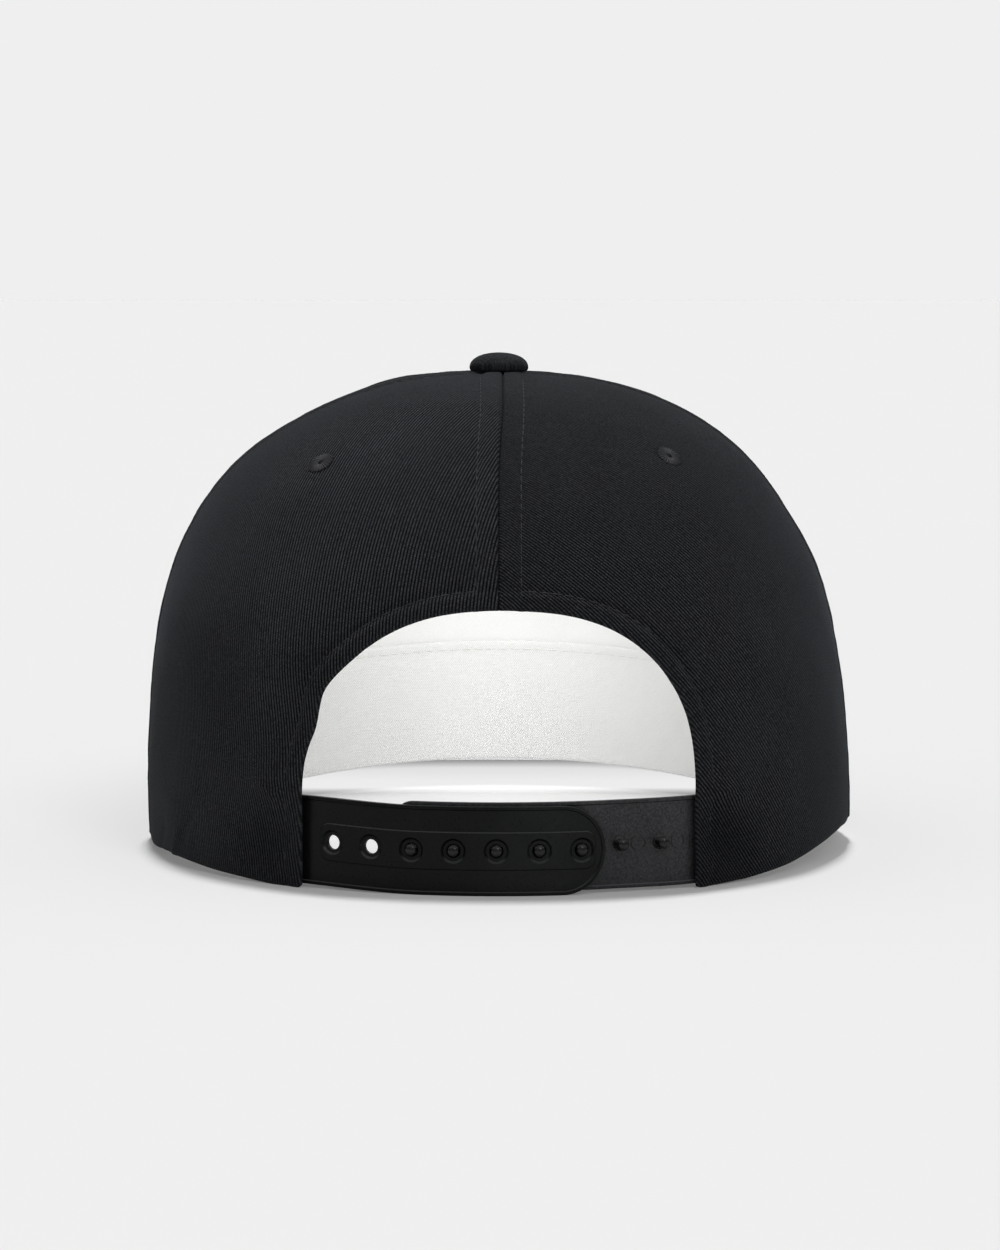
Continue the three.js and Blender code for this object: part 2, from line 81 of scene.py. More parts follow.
crown = {
    "halfWidth": 88.8, "halfDepth": 98, "height": 119.2, "wall": 1.6, "topHole": 3.4,
    "rearSeam": 89, "frontSeam": 141, "rimLift": 6.5, "foldDepth": 1.2,
    "back": (2, 2.9), "left": (2.08, 3.65), "front": (2.4, 4.2), "right": (2.32, 2.93),
}
rimRows = [(-84, 0.93), (-74, 1.02), (-68, 0.9), (-63, 0.74), (-52, 0.33), (-42, 0.07), (-34, 0),
           (38, 0), (44, 0.09), (52, 0.18), (60, 0.31), (66, 0.34), (78, 0.16), (84, 0.23)]
# azimuth, height as a share, push as a share of foldDepth, wide in degrees, tall as a share
folds = [(38, 0.205, 0.9, 6, 0.05), (37, 0.08, -0.35, 6, 0.08), (33, 0.33, -0.5, 6, 0.08),
         (34, 0.45, 0.5, 7, 0.08), (-38, 0.2, 0.9, 6, 0.05), (-41, 0.08, -0.35, 6, 0.08),
         (62, 0.06, 0.6, 6, 0.12), (73, 0.1, -0.35, 6, 0.1), (-78, 0.8, 0.3, 9, 0.07),
         (-86, 0.08, 0.25, 24, 0.09), (-86, 0.43, -0.6, 24, 0.17), (-86, 0.73, -0.95, 24, 0.11),
         (85, 0.15, 0.3, 20, 0.14), (96, 0.895, -0.35, 24, 0.045), (108, 0.978, 0.7, 30, 0.016)]
dents = [fold for fold in folds if fold[2] < 0]
# The crown's lower edge is sunk a little into the visor's cloth, so the clearance is below zero.
visor = {"length": 70, "halfWidth": 93, "thickness": 3.4, "arch": 9, "corner": 102, "widest": 50,
         "cornerWidth": 2.5, "square": 2.5, "frontAngle": 62, "clearance": -0.25}


def signedAzimuth(azimuth):
    return np.mod(np.asarray(azimuth, float) + 180, 360) - 180


def smoothStep(value, low, high):
    along = np.clip((value - low) / (high - low), 0, 1)
    return along * along * (3 - 2 * along)


def formTowards(azimuth):
    across = np.sin(np.radians(azimuth))
    along = np.cos(np.radians(azimuth))
    weights = {"back": np.maximum(along, 0) ** 2, "front": np.maximum(-along, 0) ** 2,
               "left": np.maximum(across, 0) ** 2, "right": np.maximum(-across, 0) ** 2}
    spread = sum(weight * crown[side][0] for side, weight in weights.items())
    rise = sum(weight * crown[side][1] for side, weight in weights.items())
    return spread, rise


def visorTop(x):
    return visor["thickness"] + visor["arch"] * (1 - (x / visor["halfWidth"]) ** 2)


def rimHeight(azimuth):
    signed = signedAzimuth(azimuth)
    turn = np.radians(np.maximum(np.abs(signed), visor["corner"]))
    onVisor = visorTop((crown["halfWidth"] - crown["wall"]) * np.sin(turn)) + visor["clearance"]
    joined = smoothStep(np.abs(signed), rimRows[-1][0], visor["corner"])
    share = np.interp(signed, [row[0] for row in rimRows], [row[1] for row in rimRows])
    return crown["rimLift"] * share * (1 - joined) + onVisor * joined


def smoothCrownPoint(azimuth, slope):
    spread, rise = formTowards(azimuth)
    out = np.maximum(np.sin(np.radians(slope)), 0) ** (2 / spread)
    up = np.maximum(np.cos(np.radians(slope)), 0) ** (2 / rise)
    rim = rimHeight(azimuth)
    return np.stack([crown["halfWidth"] * np.sin(np.radians(azimuth)) * out,
                     crown["halfDepth"] * np.cos(np.radians(azimuth)) * out,
                     rim + (crown["height"] - rim) * up], -1)


def unit(vectors):
    return vectors / np.maximum(np.linalg.norm(vectors, axis=-1, keepdims=True), 1e-12)


def crownNormal(azimuth, slope, step=0.5):
    across = smoothCrownPoint(azimuth + step, slope) - smoothCrownPoint(azimuth - step, slope)
    lower = smoothCrownPoint(azimuth, np.minimum(slope + step, 90))
    normal = np.cross(across, lower - smoothCrownPoint(azimuth, slope - step))
    normal[..., 2] = np.where(slope > 90 - step / 10, 0, normal[..., 2])
    return unit(normal)


def foldPush(azimuth, z, rows):
    push = 0
    for middle, height, amount, wide, tall in rows:
        across = signedAzimuth(azimuth - middle) / wide
        up = (z / crown["height"] - height) / tall
        push = push + amount * np.exp(-across ** 2 - up ** 2)
    return crown["foldDepth"] * push


def crownPoint(azimuth, slope, depth=0, rows=folds):
    azimuth, slope = np.broadcast_arrays(np.asarray(azimuth, float), np.asarray(slope, float))
    point = smoothCrownPoint(azimuth, slope)
    push = foldPush(azimuth, point[..., 2], rows) - depth
    return point + crownNormal(azimuth, slope) * np.asarray(push)[..., None]


def slopeAtHeight(azimuth, z):
    rim = rimHeight(azimuth)
    share = np.clip((z - rim) / (crown["height"] - rim), 0, 1)
    return np.degrees(np.arccos(share ** (formTowards(azimuth)[1] / 2)))


def behindCloth(azimuth, z, depth):
    return crownPoint(azimuth, slopeAtHeight(azimuth, z), depth, dents)


# Tables over azimuth and share: the slope there, and the lengths down and along the cloth. The slopes
# that they are worked out from lie closer together towards the rim.
tableAzimuths = np.arange(-180, 361, 1.0)
tableShares = np.linspace(0, 1, 321)
slopeSamples = 1400
slopeCrowding = 2.2


def fillTables():
    slopes, downs = [], []
    for azimuth in tableAzimuths:
        spread = formTowards(azimuth)[0]
        first = math.degrees(math.asin((crown["topHole"] / crown["halfWidth"]) ** (spread / 2)))
        slope = first + (90 - first) * (1 - (1 - np.linspace(0, 1, slopeSamples)) ** slopeCrowding)
        points = smoothCrownPoint(np.full_like(slope, azimuth), slope)
        lengths = np.r_[0, np.cumsum(np.linalg.norm(np.diff(points, axis=0), axis=1))]
        slopes.append(np.interp(tableShares * lengths[-1], lengths, slope))
        downs.append(tableShares * lengths[-1])
    slopes = np.array(slopes)
    points = smoothCrownPoint(tableAzimuths[:, None] + 0 * slopes, slopes)
    steps = np.linalg.norm(np.diff(points, axis=0), axis=2)
    alongs = np.concatenate([np.zeros((1, len(tableShares))), np.cumsum(steps, axis=0)])
    return slopes, np.array(downs), alongs


slopeTable, downTable, alongTable = fillTables()


def fromTable(table, azimuth, share):
    azimuth, share = np.broadcast_arrays(np.asarray(azimuth, float), np.asarray(share, float))
    column = np.clip(azimuth - tableAzimuths[0], 0, len(tableAzimuths) - 1.001)
    row = np.clip(share, 0, 1) * (len(tableShares) - 1)
    left = column.astype(int)
    above = np.minimum(row.astype(int), len(tableShares) - 2)
    across, down = column - left, row - above
    top = table[left, above] * (1 - across) + table[left + 1, above] * across
    low = table[left, above + 1] * (1 - across) + table[left + 1, above + 1] * across
    return top * (1 - down) + low * down


def shareAtSlope(azimuth, slope):
    column = azimuth - tableAzimuths[0]
    left = int(column)
    rows = slopeTable[left] * (1 - column + left) + slopeTable[left + 1] * (column - left)
    return float(np.interp(slope, rows, tableShares))


# The azimuth and share of the cloth's point that has this x and z, searched from a first azimuth.
searchSteps = 16


def onCloth(x, z, azimuth):
    smoothZ = z
    for _ in range(searchSteps):
        slope = float(slopeAtHeight(azimuth, smoothZ))
        point = crownPoint(azimuth, slope)
        smoothZ = min(max(smoothZ + z - point[2], 0), crown["height"])
        azimuth += math.degrees((x - point[0]) / (crown["halfWidth"] * math.cos(math.radians(azimuth))))
    return azimuth, shareAtSlope(azimuth, float(slopeAtHeight(azimuth, smoothZ)))


def clothPoint(azimuth, share, depth=0):
    return crownPoint(azimuth, fromTable(slopeTable, azimuth, share), depth)


def lengthsAlong(points):
    return np.r_[0, np.cumsum(np.linalg.norm(np.diff(points, axis=0), axis=1))]


# How far each point lies from a line of points.
def lineDistance(points, line):
    nearest = np.full(points.shape[:-1], 1e9)
    for start, end in zip(line[:-1], line[1:]):
        along = end - start
        share = np.clip(((points - start) @ along) / max(along @ along, 1e-9), 0, 1)
        gap = np.linalg.norm(points - start - share[..., None] * along, axis=-1)
        nearest = np.minimum(nearest, gap)
    return nearest


# How deep a rounded edge lies below its face, at a distance in from the edge.
def edgeDrop(distance, roll):
    return roll - np.sqrt(roll ** 2 - (roll - np.minimum(distance, roll)) ** 2)


# Modelling helpers

def deselectAll():
    if bpy.context.mode != "OBJECT":
        bpy.ops.object.mode_set(mode="OBJECT")
    bpy.ops.object.select_all(action="DESELECT")


def pick(piece):
    deselectAll()
    piece.select_set(True)
    bpy.context.view_layer.objects.active = piece


def objectMode():
    bpy.ops.object.mode_set(mode="OBJECT")


def editMode(action="SELECT"):
    bpy.ops.object.mode_set(mode="EDIT")
    bpy.ops.mesh.select_all(action=action)


def applyTransforms():
    bpy.ops.object.transform_apply(location=True, rotation=True, scale=True)


def applyModifier(piece, kind, **settings):
    pick(piece)
    modifier = piece.modifiers.new(kind.title(), kind)
    for name, value in settings.items():
        setattr(modifier, name, value)
    bpy.ops.object.modifier_apply(modifier=modifier.name)


def joinPieces(pieces, name):
    pick(pieces[0])
    for piece in pieces:
        piece.select_set(True)
    if len(pieces) > 1:
        bpy.ops.object.join()
    whole = bpy.context.object
    whole.name = name
    whole.data.name = name
    return whole


def faceOutwards(piece, weld=0):
    pick(piece)
    editMode()
    if weld:
        bpy.ops.mesh.remove_doubles(threshold=weld)
    bpy.ops.mesh.normals_make_consistent(inside=False)
    objectMode()


def dress(piece, material):
    piece.data.materials.clear()
    piece.data.materials.append(material)


def readTriples(parts, name):
    values = np.empty(len(parts) * 3)
    parts.foreach_get(name, values)
    return values.reshape(-1, 3)


def moveVertices(piece, points):
    piece.data.vertices.foreach_set("co", toMetres(points).ravel())


def setAttribute(piece, name, values):
    values = np.asarray(values, float).reshape(-1, 3)
    attribute = piece.data.attributes.new(name, "FLOAT_VECTOR", "POINT")
    attribute.data.foreach_set("vector", values.ravel())


# A grid primitive whose vertices are laid on rows and columns of points.
def layGrid(name, points, material, **attributes):
    rows, columns = points.shape[:2]
    deselectAll()
    bpy.ops.mesh.primitive_grid_add(x_subdivisions=columns - 1, y_subdivisions=rows - 1)
    piece = bpy.context.object
    piece.name = name
    moveVertices(piece, points)
    piece.data.materials.append(material)
    for attribute, values in attributes.items():
        setAttribute(piece, attribute, values)
    return piece


# Two grids that meet all round their edges, made one closed piece.
def closedShell(name, outer, inner, outerMaterial, innerMaterial, **attributes):
    front = layGrid(name, outer, outerMaterial, **attributes)
    back = layGrid(name + "Inside", inner, innerMaterial, **attributes)
    whole = joinPieces([front, back], name)
    faceOutwards(whole, weld=1e-7)
    pick(whole)
    bpy.ops.object.shade_smooth()
    return whole


def finishPiece(piece, slot, *nodes):
    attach(piece, "root")
    if nodes:
        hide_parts(*nodes)
    report(f"{piece.name}: {len(piece.data.polygons)} faces")


# Materials: the cloth pieces carry their weave's own millimetres in an attribute, across the twill's
# lines in x and along them in y, and how plainly the weave shows in z. Everything else reads Object
# coordinates in metres.

# An input without a number is a vector.
def newGroup(name, inputs, outputs):
    group = bpy.data.node_groups.new(name, "ShaderNodeTree")
    for label, value in inputs.items():
        kind = "NodeSocketVector" if value is None else "NodeSocketFloat"
        socket = group.interface.new_socket(name=label, in_out="INPUT", socket_type=kind)
        if value is not None:
            socket.default_value = value
    for label in outputs:
        group.interface.new_socket(name=label, in_out="OUTPUT", socket_type="NodeSocketFloat")
    return group, group.nodes.new("NodeGroupInput"), group.nodes.new("NodeGroupOutput")


class Wiring:
    def __init__(self, tree):
        self.tree = tree

    def node(self, kind, inputs=(), **settings):
        made = self.tree.nodes.new("ShaderNode" + kind)
        for name, value in settings.items():
            setattr(made, name, value)
        for socket, value in dict(inputs).items():
            self.join(value, made.inputs[socket])
        return made

    def join(self, value, socket):
        if isinstance(value, bpy.types.NodeSocket):
            self.tree.links.new(value, socket)
        else:
            socket.default_value = value

    def math(self, operation, first, second=None, third=None):
        inputs = {0: first}
        if second is not None:
            inputs[1] = second
        if third is not None:
            inputs[2] = third
        return self.node("Math", inputs, operation=operation).outputs[0]

    def ripple(self, turns):
        wave = self.math("COSINE", self.math("MULTIPLY", turns, 2 * math.pi))
        return self.math("MULTIPLY_ADD", wave, 0.5, 0.5)

    def noise(self, vector, scale, detail=2.0, roughness=0.5):
        inputs = {"Vector": vector, "Scale": scale, "Detail": detail, "Roughness": roughness}
        return self.node("TexNoise", inputs).outputs["Fac"]

    def spread(self, value, low, high, toLow=0.0, toHigh=1.0, curve="LINEAR"):
        inputs = {"Value": value, "From Min": low, "From Max": high, "To Min": toLow, "To Max": toHigh}
        return self.node("MapRange", inputs, interpolation_type=curve).outputs[0]

    def mix(self, share, first, second, blend="MIX"):
        inputs = {0: share, 6: first, 7: second}
        return self.node("Mix", inputs, data_type="RGBA", blend_type=blend).outputs[2]

    def grey(self, level):
        return self.node("CombineColor", {0: level, 1: level, 2: level}).outputs[0]

    def fill(self, shader, inputs):
        for socket, value in inputs.items():
            self.join(value, shader.inputs[socket])

    def bump(self, strength, distance, height):
        inputs = {"Strength": strength, "Distance": distance, "Height": height}
        return self.node("Bump", inputs).outputs[0]


# Twill: diagonal lines a spacing apart, each a row of yarns that pass over and under.
def makeTwillGroup():
    group, given, out = newGroup("twillWeave", {"Weave": None, "Spacing": 0.8, "Yarn": 0.62, "Wander": 0.2},
                                 ("Height", "Shade", "Fuzz"))
    w = Wiring(group)
    weave = given.outputs["Weave"]
    parts = w.node("SeparateXYZ", {0: weave})
    drift = w.math("MULTIPLY", w.math("SUBTRACT", w.noise(weave, 0.16, 3.0), 0.5), given.outputs["Wander"])
    across = w.math("ADD", w.math("DIVIDE", parts.outputs[0], given.outputs["Spacing"]), drift)
    wave = w.ripple(across)
    ridge = w.spread(wave, 0.12, 0.88, curve="SMOOTHSTEP")
    offset = w.math("MULTIPLY", w.math("ROUND", across), 0.37)
    along = w.math("ADD", w.math("DIVIDE", parts.outputs[1], given.outputs["Yarn"]), offset)
    yarn = w.ripple(along)
    fuzz = w.noise(weave, 2.1, 3.0, 0.6)
    uneven = w.spread(w.noise(weave, 0.9, 2.0), 0.3, 0.7, 0.65, 1.15)
    height = w.math("MULTIPLY", w.math("MULTIPLY_ADD", yarn, 0.3, 0.7), w.math("POWER", ridge, 0.8))
    plain = w.math("MULTIPLY", parts.outputs[2], uneven)
    height = w.math("MULTIPLY", height, plain)
    w.join(w.math("MULTIPLY_ADD", fuzz, 0.25, height), out.inputs["Height"])
    # Shade is painted shade in the grooves and painted light on the ridges of the weave's relief.
    shade = w.math("SUBTRACT", w.math("MULTIPLY", w.math("MULTIPLY_ADD", yarn, 0.2, 0.8), ridge), 0.45)
    w.join(w.math("MULTIPLY_ADD", shade, plain, 0.45), out.inputs["Shade"])
    w.join(fuzz, out.inputs["Fuzz"])
    return group


# Slow patches of lighter and darker dye, and specks of lint.
def makeDyeGroup():
    group, given, out = newGroup("dyeAndLint", {"Patch Size": 0.03, "Lint": 1.0}, ("Patches", "Specks"))
    w = Wiring(group)
    place = w.node("TexCoord").outputs["Object"]
    scale = w.math("DIVIDE", 1.0, given.outputs["Patch Size"])
    patches = w.node("TexNoise", {"Vector": place, "Scale": scale, "Detail": 4.0, "Roughness": 0.6})
    cells = w.node("TexVoronoi", {"Vector": place, "Scale": 420.0, "Randomness": 1.0})
    specks = w.spread(cells.outputs["Distance"], 0.1, 0.04)
    rare = w.spread(w.noise(place, 190.0, 1.0), 0.68, 0.72)
    w.join(patches.outputs["Fac"], out.inputs["Patches"])
    lint = w.math("MULTIPLY", w.math("MULTIPLY", specks, rare), given.outputs["Lint"])
    w.join(lint, out.inputs["Specks"])
    return group


# Fine moulding grain and a few handling scratches.
def makeGrainGroup():
    group, given, out = newGroup("mouldedGrain", {"Grain Size": 0.0004}, ("Height", "Scratches"))
    w = Wiring(group)
    place = w.node("TexCoord").outputs["Object"]
    scale = w.math("DIVIDE", 1.0, given.outputs["Grain Size"])
    grain = w.node("TexNoise", {"Vector": place, "Scale": scale, "Detail": 2.0})
    stretched = w.node("Mapping", {"Vector": place, "Scale": (60.0, 60.0, 1400.0)}).outputs[0]
    scratches = w.spread(w.noise(stretched, 1.0, 1.0), 0.66, 0.72)
    w.join(grain.outputs["Fac"], out.inputs["Height"])
    w.join(scratches, out.inputs["Scratches"])
    return group


twillGroup = makeTwillGroup()
dyeGroup = makeDyeGroup()
grainGroup = makeGrainGroup()


def newMaterial(name):
    material = bpy.data.materials.new(name)
    material.use_nodes = True
    material.node_tree.nodes.clear()
    w = Wiring(material.node_tree)
    shader = w.node("BsdfPrincipled")
    out = w.node("OutputMaterial")
    w.join(shader.outputs[0], out.inputs[0])
    return material, w, shader


def placeGroup(w, group, **inputs):
    made = w.tree.nodes.new("ShaderNodeGroup")
    made.node_tree = group
    for label, value in inputs.items():
        w.join(value, made.inputs[label.replace("_", " ")])
    return made


def clothMaterial(name, cloth):
    material, w, shader = newMaterial(name)
    weave = w.node("Attribute", attribute_name="weave").outputs["Vector"]
    edges = w.node("SeparateXYZ", {0: w.node("Attribute", attribute_name="edges").outputs["Vector"]})
    twill = placeGroup(w, twillGroup, Weave=weave, Spacing=cloth["spacing"], Yarn=cloth["yarn"])
    dye = placeGroup(w, dyeGroup, Patch_Size=cloth["patch"], Lint=cloth["lint"])
    # Painted shade in the weave's grooves and painted light on its ridges.
    base = w.mix(twill.outputs["Shade"], (*cloth["groove"], 1), (*cloth["ridge"], 1))
    patches = w.spread(dye.outputs["Patches"], 0.25, 0.75, 1 - cloth["uneven"], 1 + cloth["uneven"])
    # Painted shade in the seam's groove.
    seam = w.spread(edges.outputs[1], *cloth["paintedSeamShade"])
    mottle = w.math("MULTIPLY_ADD", w.math("SUBTRACT", twill.outputs["Fuzz"], 0.5), cloth["mottle"], 1.0)
    # The edges' z is the painted shade and light of the back; the dye patches above are random.
    patches = w.math("MULTIPLY", patches, edges.outputs[2])
    patches = w.math("MULTIPLY", patches, w.math("MULTIPLY", seam, mottle))
    shaded = w.mix(1.0, base, w.grey(patches), "MULTIPLY")
    rubbed = w.math("MULTIPLY", w.spread(edges.outputs[0], cloth["wornWithin"], 0.0), cloth["wear"])
    worn = w.mix(rubbed, shaded, (*cloth["worn"], 1))
    flecked = w.mix(dye.outputs["Specks"], worn, (*cloth["fleck"], 1))
    rough = w.spread(twill.outputs["Fuzz"], 0.2, 0.8, cloth["roughness"] - 0.06, cloth["roughness"] + 0.06)
    w.fill(shader, {
        "Base Color": flecked, "Roughness": rough, "Specular IOR Level": cloth["gloss"],
        "Sheen Weight": cloth["sheen"], "Sheen Roughness": 0.45, "Sheen Tint": (*cloth["sheenTint"], 1),
        "Normal": w.bump(cloth["relief"], cloth["reliefDepth"], twill.outputs["Height"])})
    return material


# Painted shade in each seam's groove: from this far to that far from a seam, the cloth goes from this shade
# to that.
blackTwill = {
    "spacing": 0.8, "yarn": 0.62, "patch": 0.035, "lint": 0.35, "uneven": 0.16, "mottle": 3.5,
    # The grooves are painted darker than the ridges: painted shade and light of the weave's relief.
    "groove": (0.002, 0.0021, 0.0025), "ridge": (0.033, 0.0343, 0.0378),
    "paintedSeamShade": (0.08, 0.34, 0.25, 1.0),
    "worn": (0.03, 0.031, 0.034), "wornWithin": 1.4, "wear": 0.25, "fleck": (0.09, 0.092, 0.1),
    "roughness": 0.88, "gloss": 0.04, "sheen": 0.04, "sheenTint": (0.8, 0.88, 1.0),
    "relief": 1.0, "reliefDepth": 0.00022,
}
paleLining = {
    **blackTwill, "spacing": 0.6, "yarn": 0.5, "patch": 0.02, "lint": 0.0, "uneven": 0.02, "mottle": 0.1,
    # The lining's grooves are painted darker than its ridges, as painted shade.
    "groove": (0.74, 0.74, 0.73), "ridge": (0.86, 0.86, 0.85),
    "worn": (0.86, 0.86, 0.85), "wear": 0.1, "fleck": (0.8, 0.8, 0.8),
    "roughness": 0.9, "gloss": 0.2, "sheen": 0.1, "sheenTint": (1.0, 1.0, 1.0), "relief": 0.5,
}
twillCloth = clothMaterial("twillCloth", blackTwill)
liningCloth = clothMaterial("liningCloth", paleLining)


def threadMaterial(name, thread):
    material, w, shader = newMaterial(name)
    place = w.node("TexCoord").outputs["Object"]
    strands = w.noise(place, 2600.0, 2.0, 0.7)
    dye = placeGroup(w, dyeGroup, Patch_Size=0.006, Lint=0.0)
    colour = w.mix(strands, (*thread["dark"], 1), (*thread["light"], 1))
    faded = w.mix(w.spread(dye.outputs["Patches"], 0.3, 0.7, 0.0, 0.4), colour, (*thread["light"], 1))
    w.fill(shader, {
        "Base Color": faded, "Roughness": w.spread(strands, 0.3, 0.7, 0.45, 0.7),
        "Specular IOR Level": thread["gloss"], "Normal": w.bump(0.5, 0.00008, strands)})
    return material


stitchThread = threadMaterial("stitchThread", {
    "dark": (0.014, 0.0145, 0.016), "light": (0.033, 0.034, 0.037), "gloss": 0.12})
paleThread = threadMaterial("paleThread", {
    "dark": (0.6, 0.6, 0.58), "light": (0.85, 0.85, 0.83), "gloss": 0.3})


# A painted sheen lightens the straps round one place along x, in metres: the light's reflection on the
# curved strap.
sheenAlongStrap = {"middle": -0.0125, "reach": 0.026}


def plasticMaterial(name, plastic):
    material, w, shader = newMaterial(name)
    grain = placeGroup(w, grainGroup, Grain_Size=plastic["grain"])
    dye = placeGroup(w, dyeGroup, Patch_Size=0.012, Lint=0.0)
    patches = w.spread(dye.outputs["Patches"], 0.3, 0.7)
    colour = w.mix(patches, (*plastic["dark"], 1), (*plastic["light"], 1))
    level = w.spread(grain.outputs["Height"], 0.3, 0.7, 1 - plastic["mottle"], 1 + plastic["mottle"])
    across = w.node("SeparateXYZ", {0: w.node("TexCoord").outputs["Object"]}).outputs[0]
    off = w.math("ABSOLUTE", w.math("SUBTRACT", across, sheenAlongStrap["middle"]))
    # Painted sheen: the strap is painted lighter round one place along x.
    paintedSheen = w.spread(off, sheenAlongStrap["reach"], 0.0, 1.0, plastic["paintedSheen"], "SMOOTHSTEP")
    mottleAndSheen = w.mix(1.0, colour, w.grey(w.math("MULTIPLY", level, paintedSheen)), "MULTIPLY")
    # Painted shade on faces turned down and a painted highlight on faces turned up.
    upper = w.node("Attribute", attribute_name="upper").outputs["Fac"]
    underShade = w.math("MULTIPLY", w.spread(upper, -0.1, -1.0), plastic["paintedUnderShade"])
    withUnderShade = w.mix(underShade, mottleAndSheen, (*plastic["paintedUnderShadeColour"], 1))
    withTopHighlight = w.mix(upper, withUnderShade, (*plastic["edge"], 1))
    rough = w.math("MULTIPLY_ADD", grain.outputs["Height"], 0.16, plastic["roughness"] - 0.08)
    rough = w.math("MULTIPLY_ADD", grain.outputs["Scratches"], 0.1, rough)
    w.fill(shader, {
        "Base Color": withTopHighlight, "Roughness": rough, "Specular IOR Level": plastic["gloss"],
        "Normal": w.bump(plastic["relief"], plastic["reliefDepth"], grain.outputs["Height"])})
    return material


# Faces turned down are painted darker, as painted shade, and faces turned up take each plastic's edge
# colour, a painted highlight.
moulded = {"mottle": 0.2, "paintedSheen": 1.0, "grain": 0.0005, "paintedUnderShade": 0.75,
           "paintedUnderShadeColour": (0.001, 0.001, 0.001),
           "reliefDepth": 0.00003}
holePlastic = plasticMaterial("holePlastic", {
    **moulded, "dark": (0.0034, 0.004, 0.0037), "light": (0.0054, 0.006, 0.0057),
    "edge": (0.045, 0.047, 0.048), "paintedSheen": 2.1, "grain": 0.0006, "roughness": 0.3, "gloss": 0.1,
    "relief": 0.5})
pegPlastic = plasticMaterial("pegPlastic", {
    **moulded, "dark": (0.023, 0.0235, 0.0257), "light": (0.034, 0.0345, 0.0375),
    "edge": (0.085, 0.087, 0.093), "mottle": 0.5, "roughness": 0.4, "gloss": 0.2, "relief": 1.0})
# The pegs: a darker copy of the peg strap's plastic, as painted shade.
pegShadedPlastic = plasticMaterial("pegShadedPlastic", {
    **moulded, "dark": (0.003, 0.0033, 0.0035), "light": (0.005, 0.0053, 0.0055),
    "edge": (0.045, 0.046, 0.048), "roughness": 0.26, "gloss": 0.3, "relief": 0.4})
report("materials ready")


# Crown panels: closed shells of twill with a rolled hem, seams that dip, and swells where the seam
# allowance lies under the cloth.

opening = {"halfWidth": 46.6, "spring": 22, "top": 66, "kink": 1.1, "squareLeft": 2.25, "squareRight": 2.5,
           "kinks": [(0.36, -1, 0.12), (0.58, 0.8, 0.1)]}
openingAzimuth = math.degrees(math.asin(opening["halfWidth"] / crown["halfWidth"]))
# Each of the Fade pairs is the distances from a seam or hem over which that effect comes or goes.
panelCloth = {
    "cell": 1.7, "fineCell": 0.7, "fineReach": 7, "rollSteps": (0, 0.06, 0.22, 0.48, 0.8, 1.4),
    "roll": 0.8, "seamDip": 0.32, "edgeFade": (0, 2.5), "seamStitch": 5.3, "hemStitch": 4.7,
    "swell": 0.4, "swellFade": (3.4, 6.6), "hemSwell": 0.3, "hemFade": (3.2, 5.6),
    "pull": 0.28, "pullWide": 0.75, "pucker": 0.14, "puckerSize": 3.6, "puckerFade": (5, 11),
    "waves": 0.3, "waveSize": 26, "rippleSize": 12, "ripples": 0.45, "waveFade": (0, 12),
}
panels = [
    {"name": "rearPanelLeft", "node": "rear_panel_left", "from": 0, "to": 89, "side": 1, "twill": 80},
    {"name": "rearPanelRight", "node": "rear_panel_right", "from": -89, "to": 0, "side": -1, "twill": 50},
    {"name": "sidePanelLeft", "node": "side_panel_left", "from": 89, "to": 141, "side": 0, "twill": 62},
    {"name": "sidePanelRight", "node": "side_panel_right", "from": -141, "to": -89, "side": 0, "twill": 62},
    {"name": "frontPanel", "node": "front_panel", "from": 141, "to": 219, "side": 0, "twill": 64},
]


# A point of the opening's edge in x and z, from its springing at share 0 to its top at share 1.
def openingEdge(share, side):
    square = opening["squareLeft"] if side > 0 else opening["squareRight"]
    angle = math.pi / 2 * share
    rise = math.sin(angle) ** (2 / square)
    wave = 0
    for height, push, tall in opening["kinks"] if side > 0 else []:
        wave += push * math.exp(-((rise - height) / tall) ** 2)
    x = opening["halfWidth"] * max(math.cos(angle), 0) ** (2 / square) + opening["kink"] * wave
    return side * x, opening["spring"] + (opening["top"] - opening["spring"]) * rise


# The opening's edge on the cloth as azimuths and shares, from the top of the arch down to the rim.
def openingPath(side):
    outline = [openingEdge(share, side) for share in np.linspace(1, 0, 60)]
    low = outline[-1]
    outline += [(low[0], z) for z in np.linspace(low[1], 0, 16)[1:]]
    path, azimuth = [], 0.0
    for x, z in outline:
        azimuth, share = onCloth(x, z, azimuth)
        path.append((azimuth, share))
    path[0] = (0.0, path[0][1])
    path[-1] = (path[-1][0], 1.0)
    return path


def lowerEdge(panel):
    rim = [(azimuth, 1.0) for azimuth in np.arange(panel["from"], panel["to"] + 0.01, 1.0)]
    if panel["side"] == 0:
        return np.array(rim), 0
    arch = openingPath(panel["side"])
    corner = arch[-1][0]
    rim = [place for place in rim if abs(place[0]) > abs(corner) + 0.5]
    if panel["side"] > 0:
        return np.array(arch + rim), len(arch)
    return np.array(rim + arch[::-1]), len(arch)


# Steps over a length: close together in the rolled edge and near the stitching.
def spaced(length, fineStart, fineEnd):
    steps = panelCloth["rollSteps"]
    near = [*steps[:-1], *np.arange(steps[-1], panelCloth["fineReach"], panelCloth["fineCell"])]
    start = near if fineStart else [0]
    end = near if fineEnd else [0]
    middle = length - start[-1] - end[-1]
    count = max(int(round(middle / panelCloth["cell"])), 1)
    inner = start[-1] + middle * np.arange(1, count) / count
    return np.r_[start, inner, length - np.array(end[::-1])]


def slowNoise(points, size, seed):
    flat = points.reshape(-1, 3) / size + seed
    return np.array([noise.noise(Vector(place)) for place in flat]).reshape(points.shape[:-1])


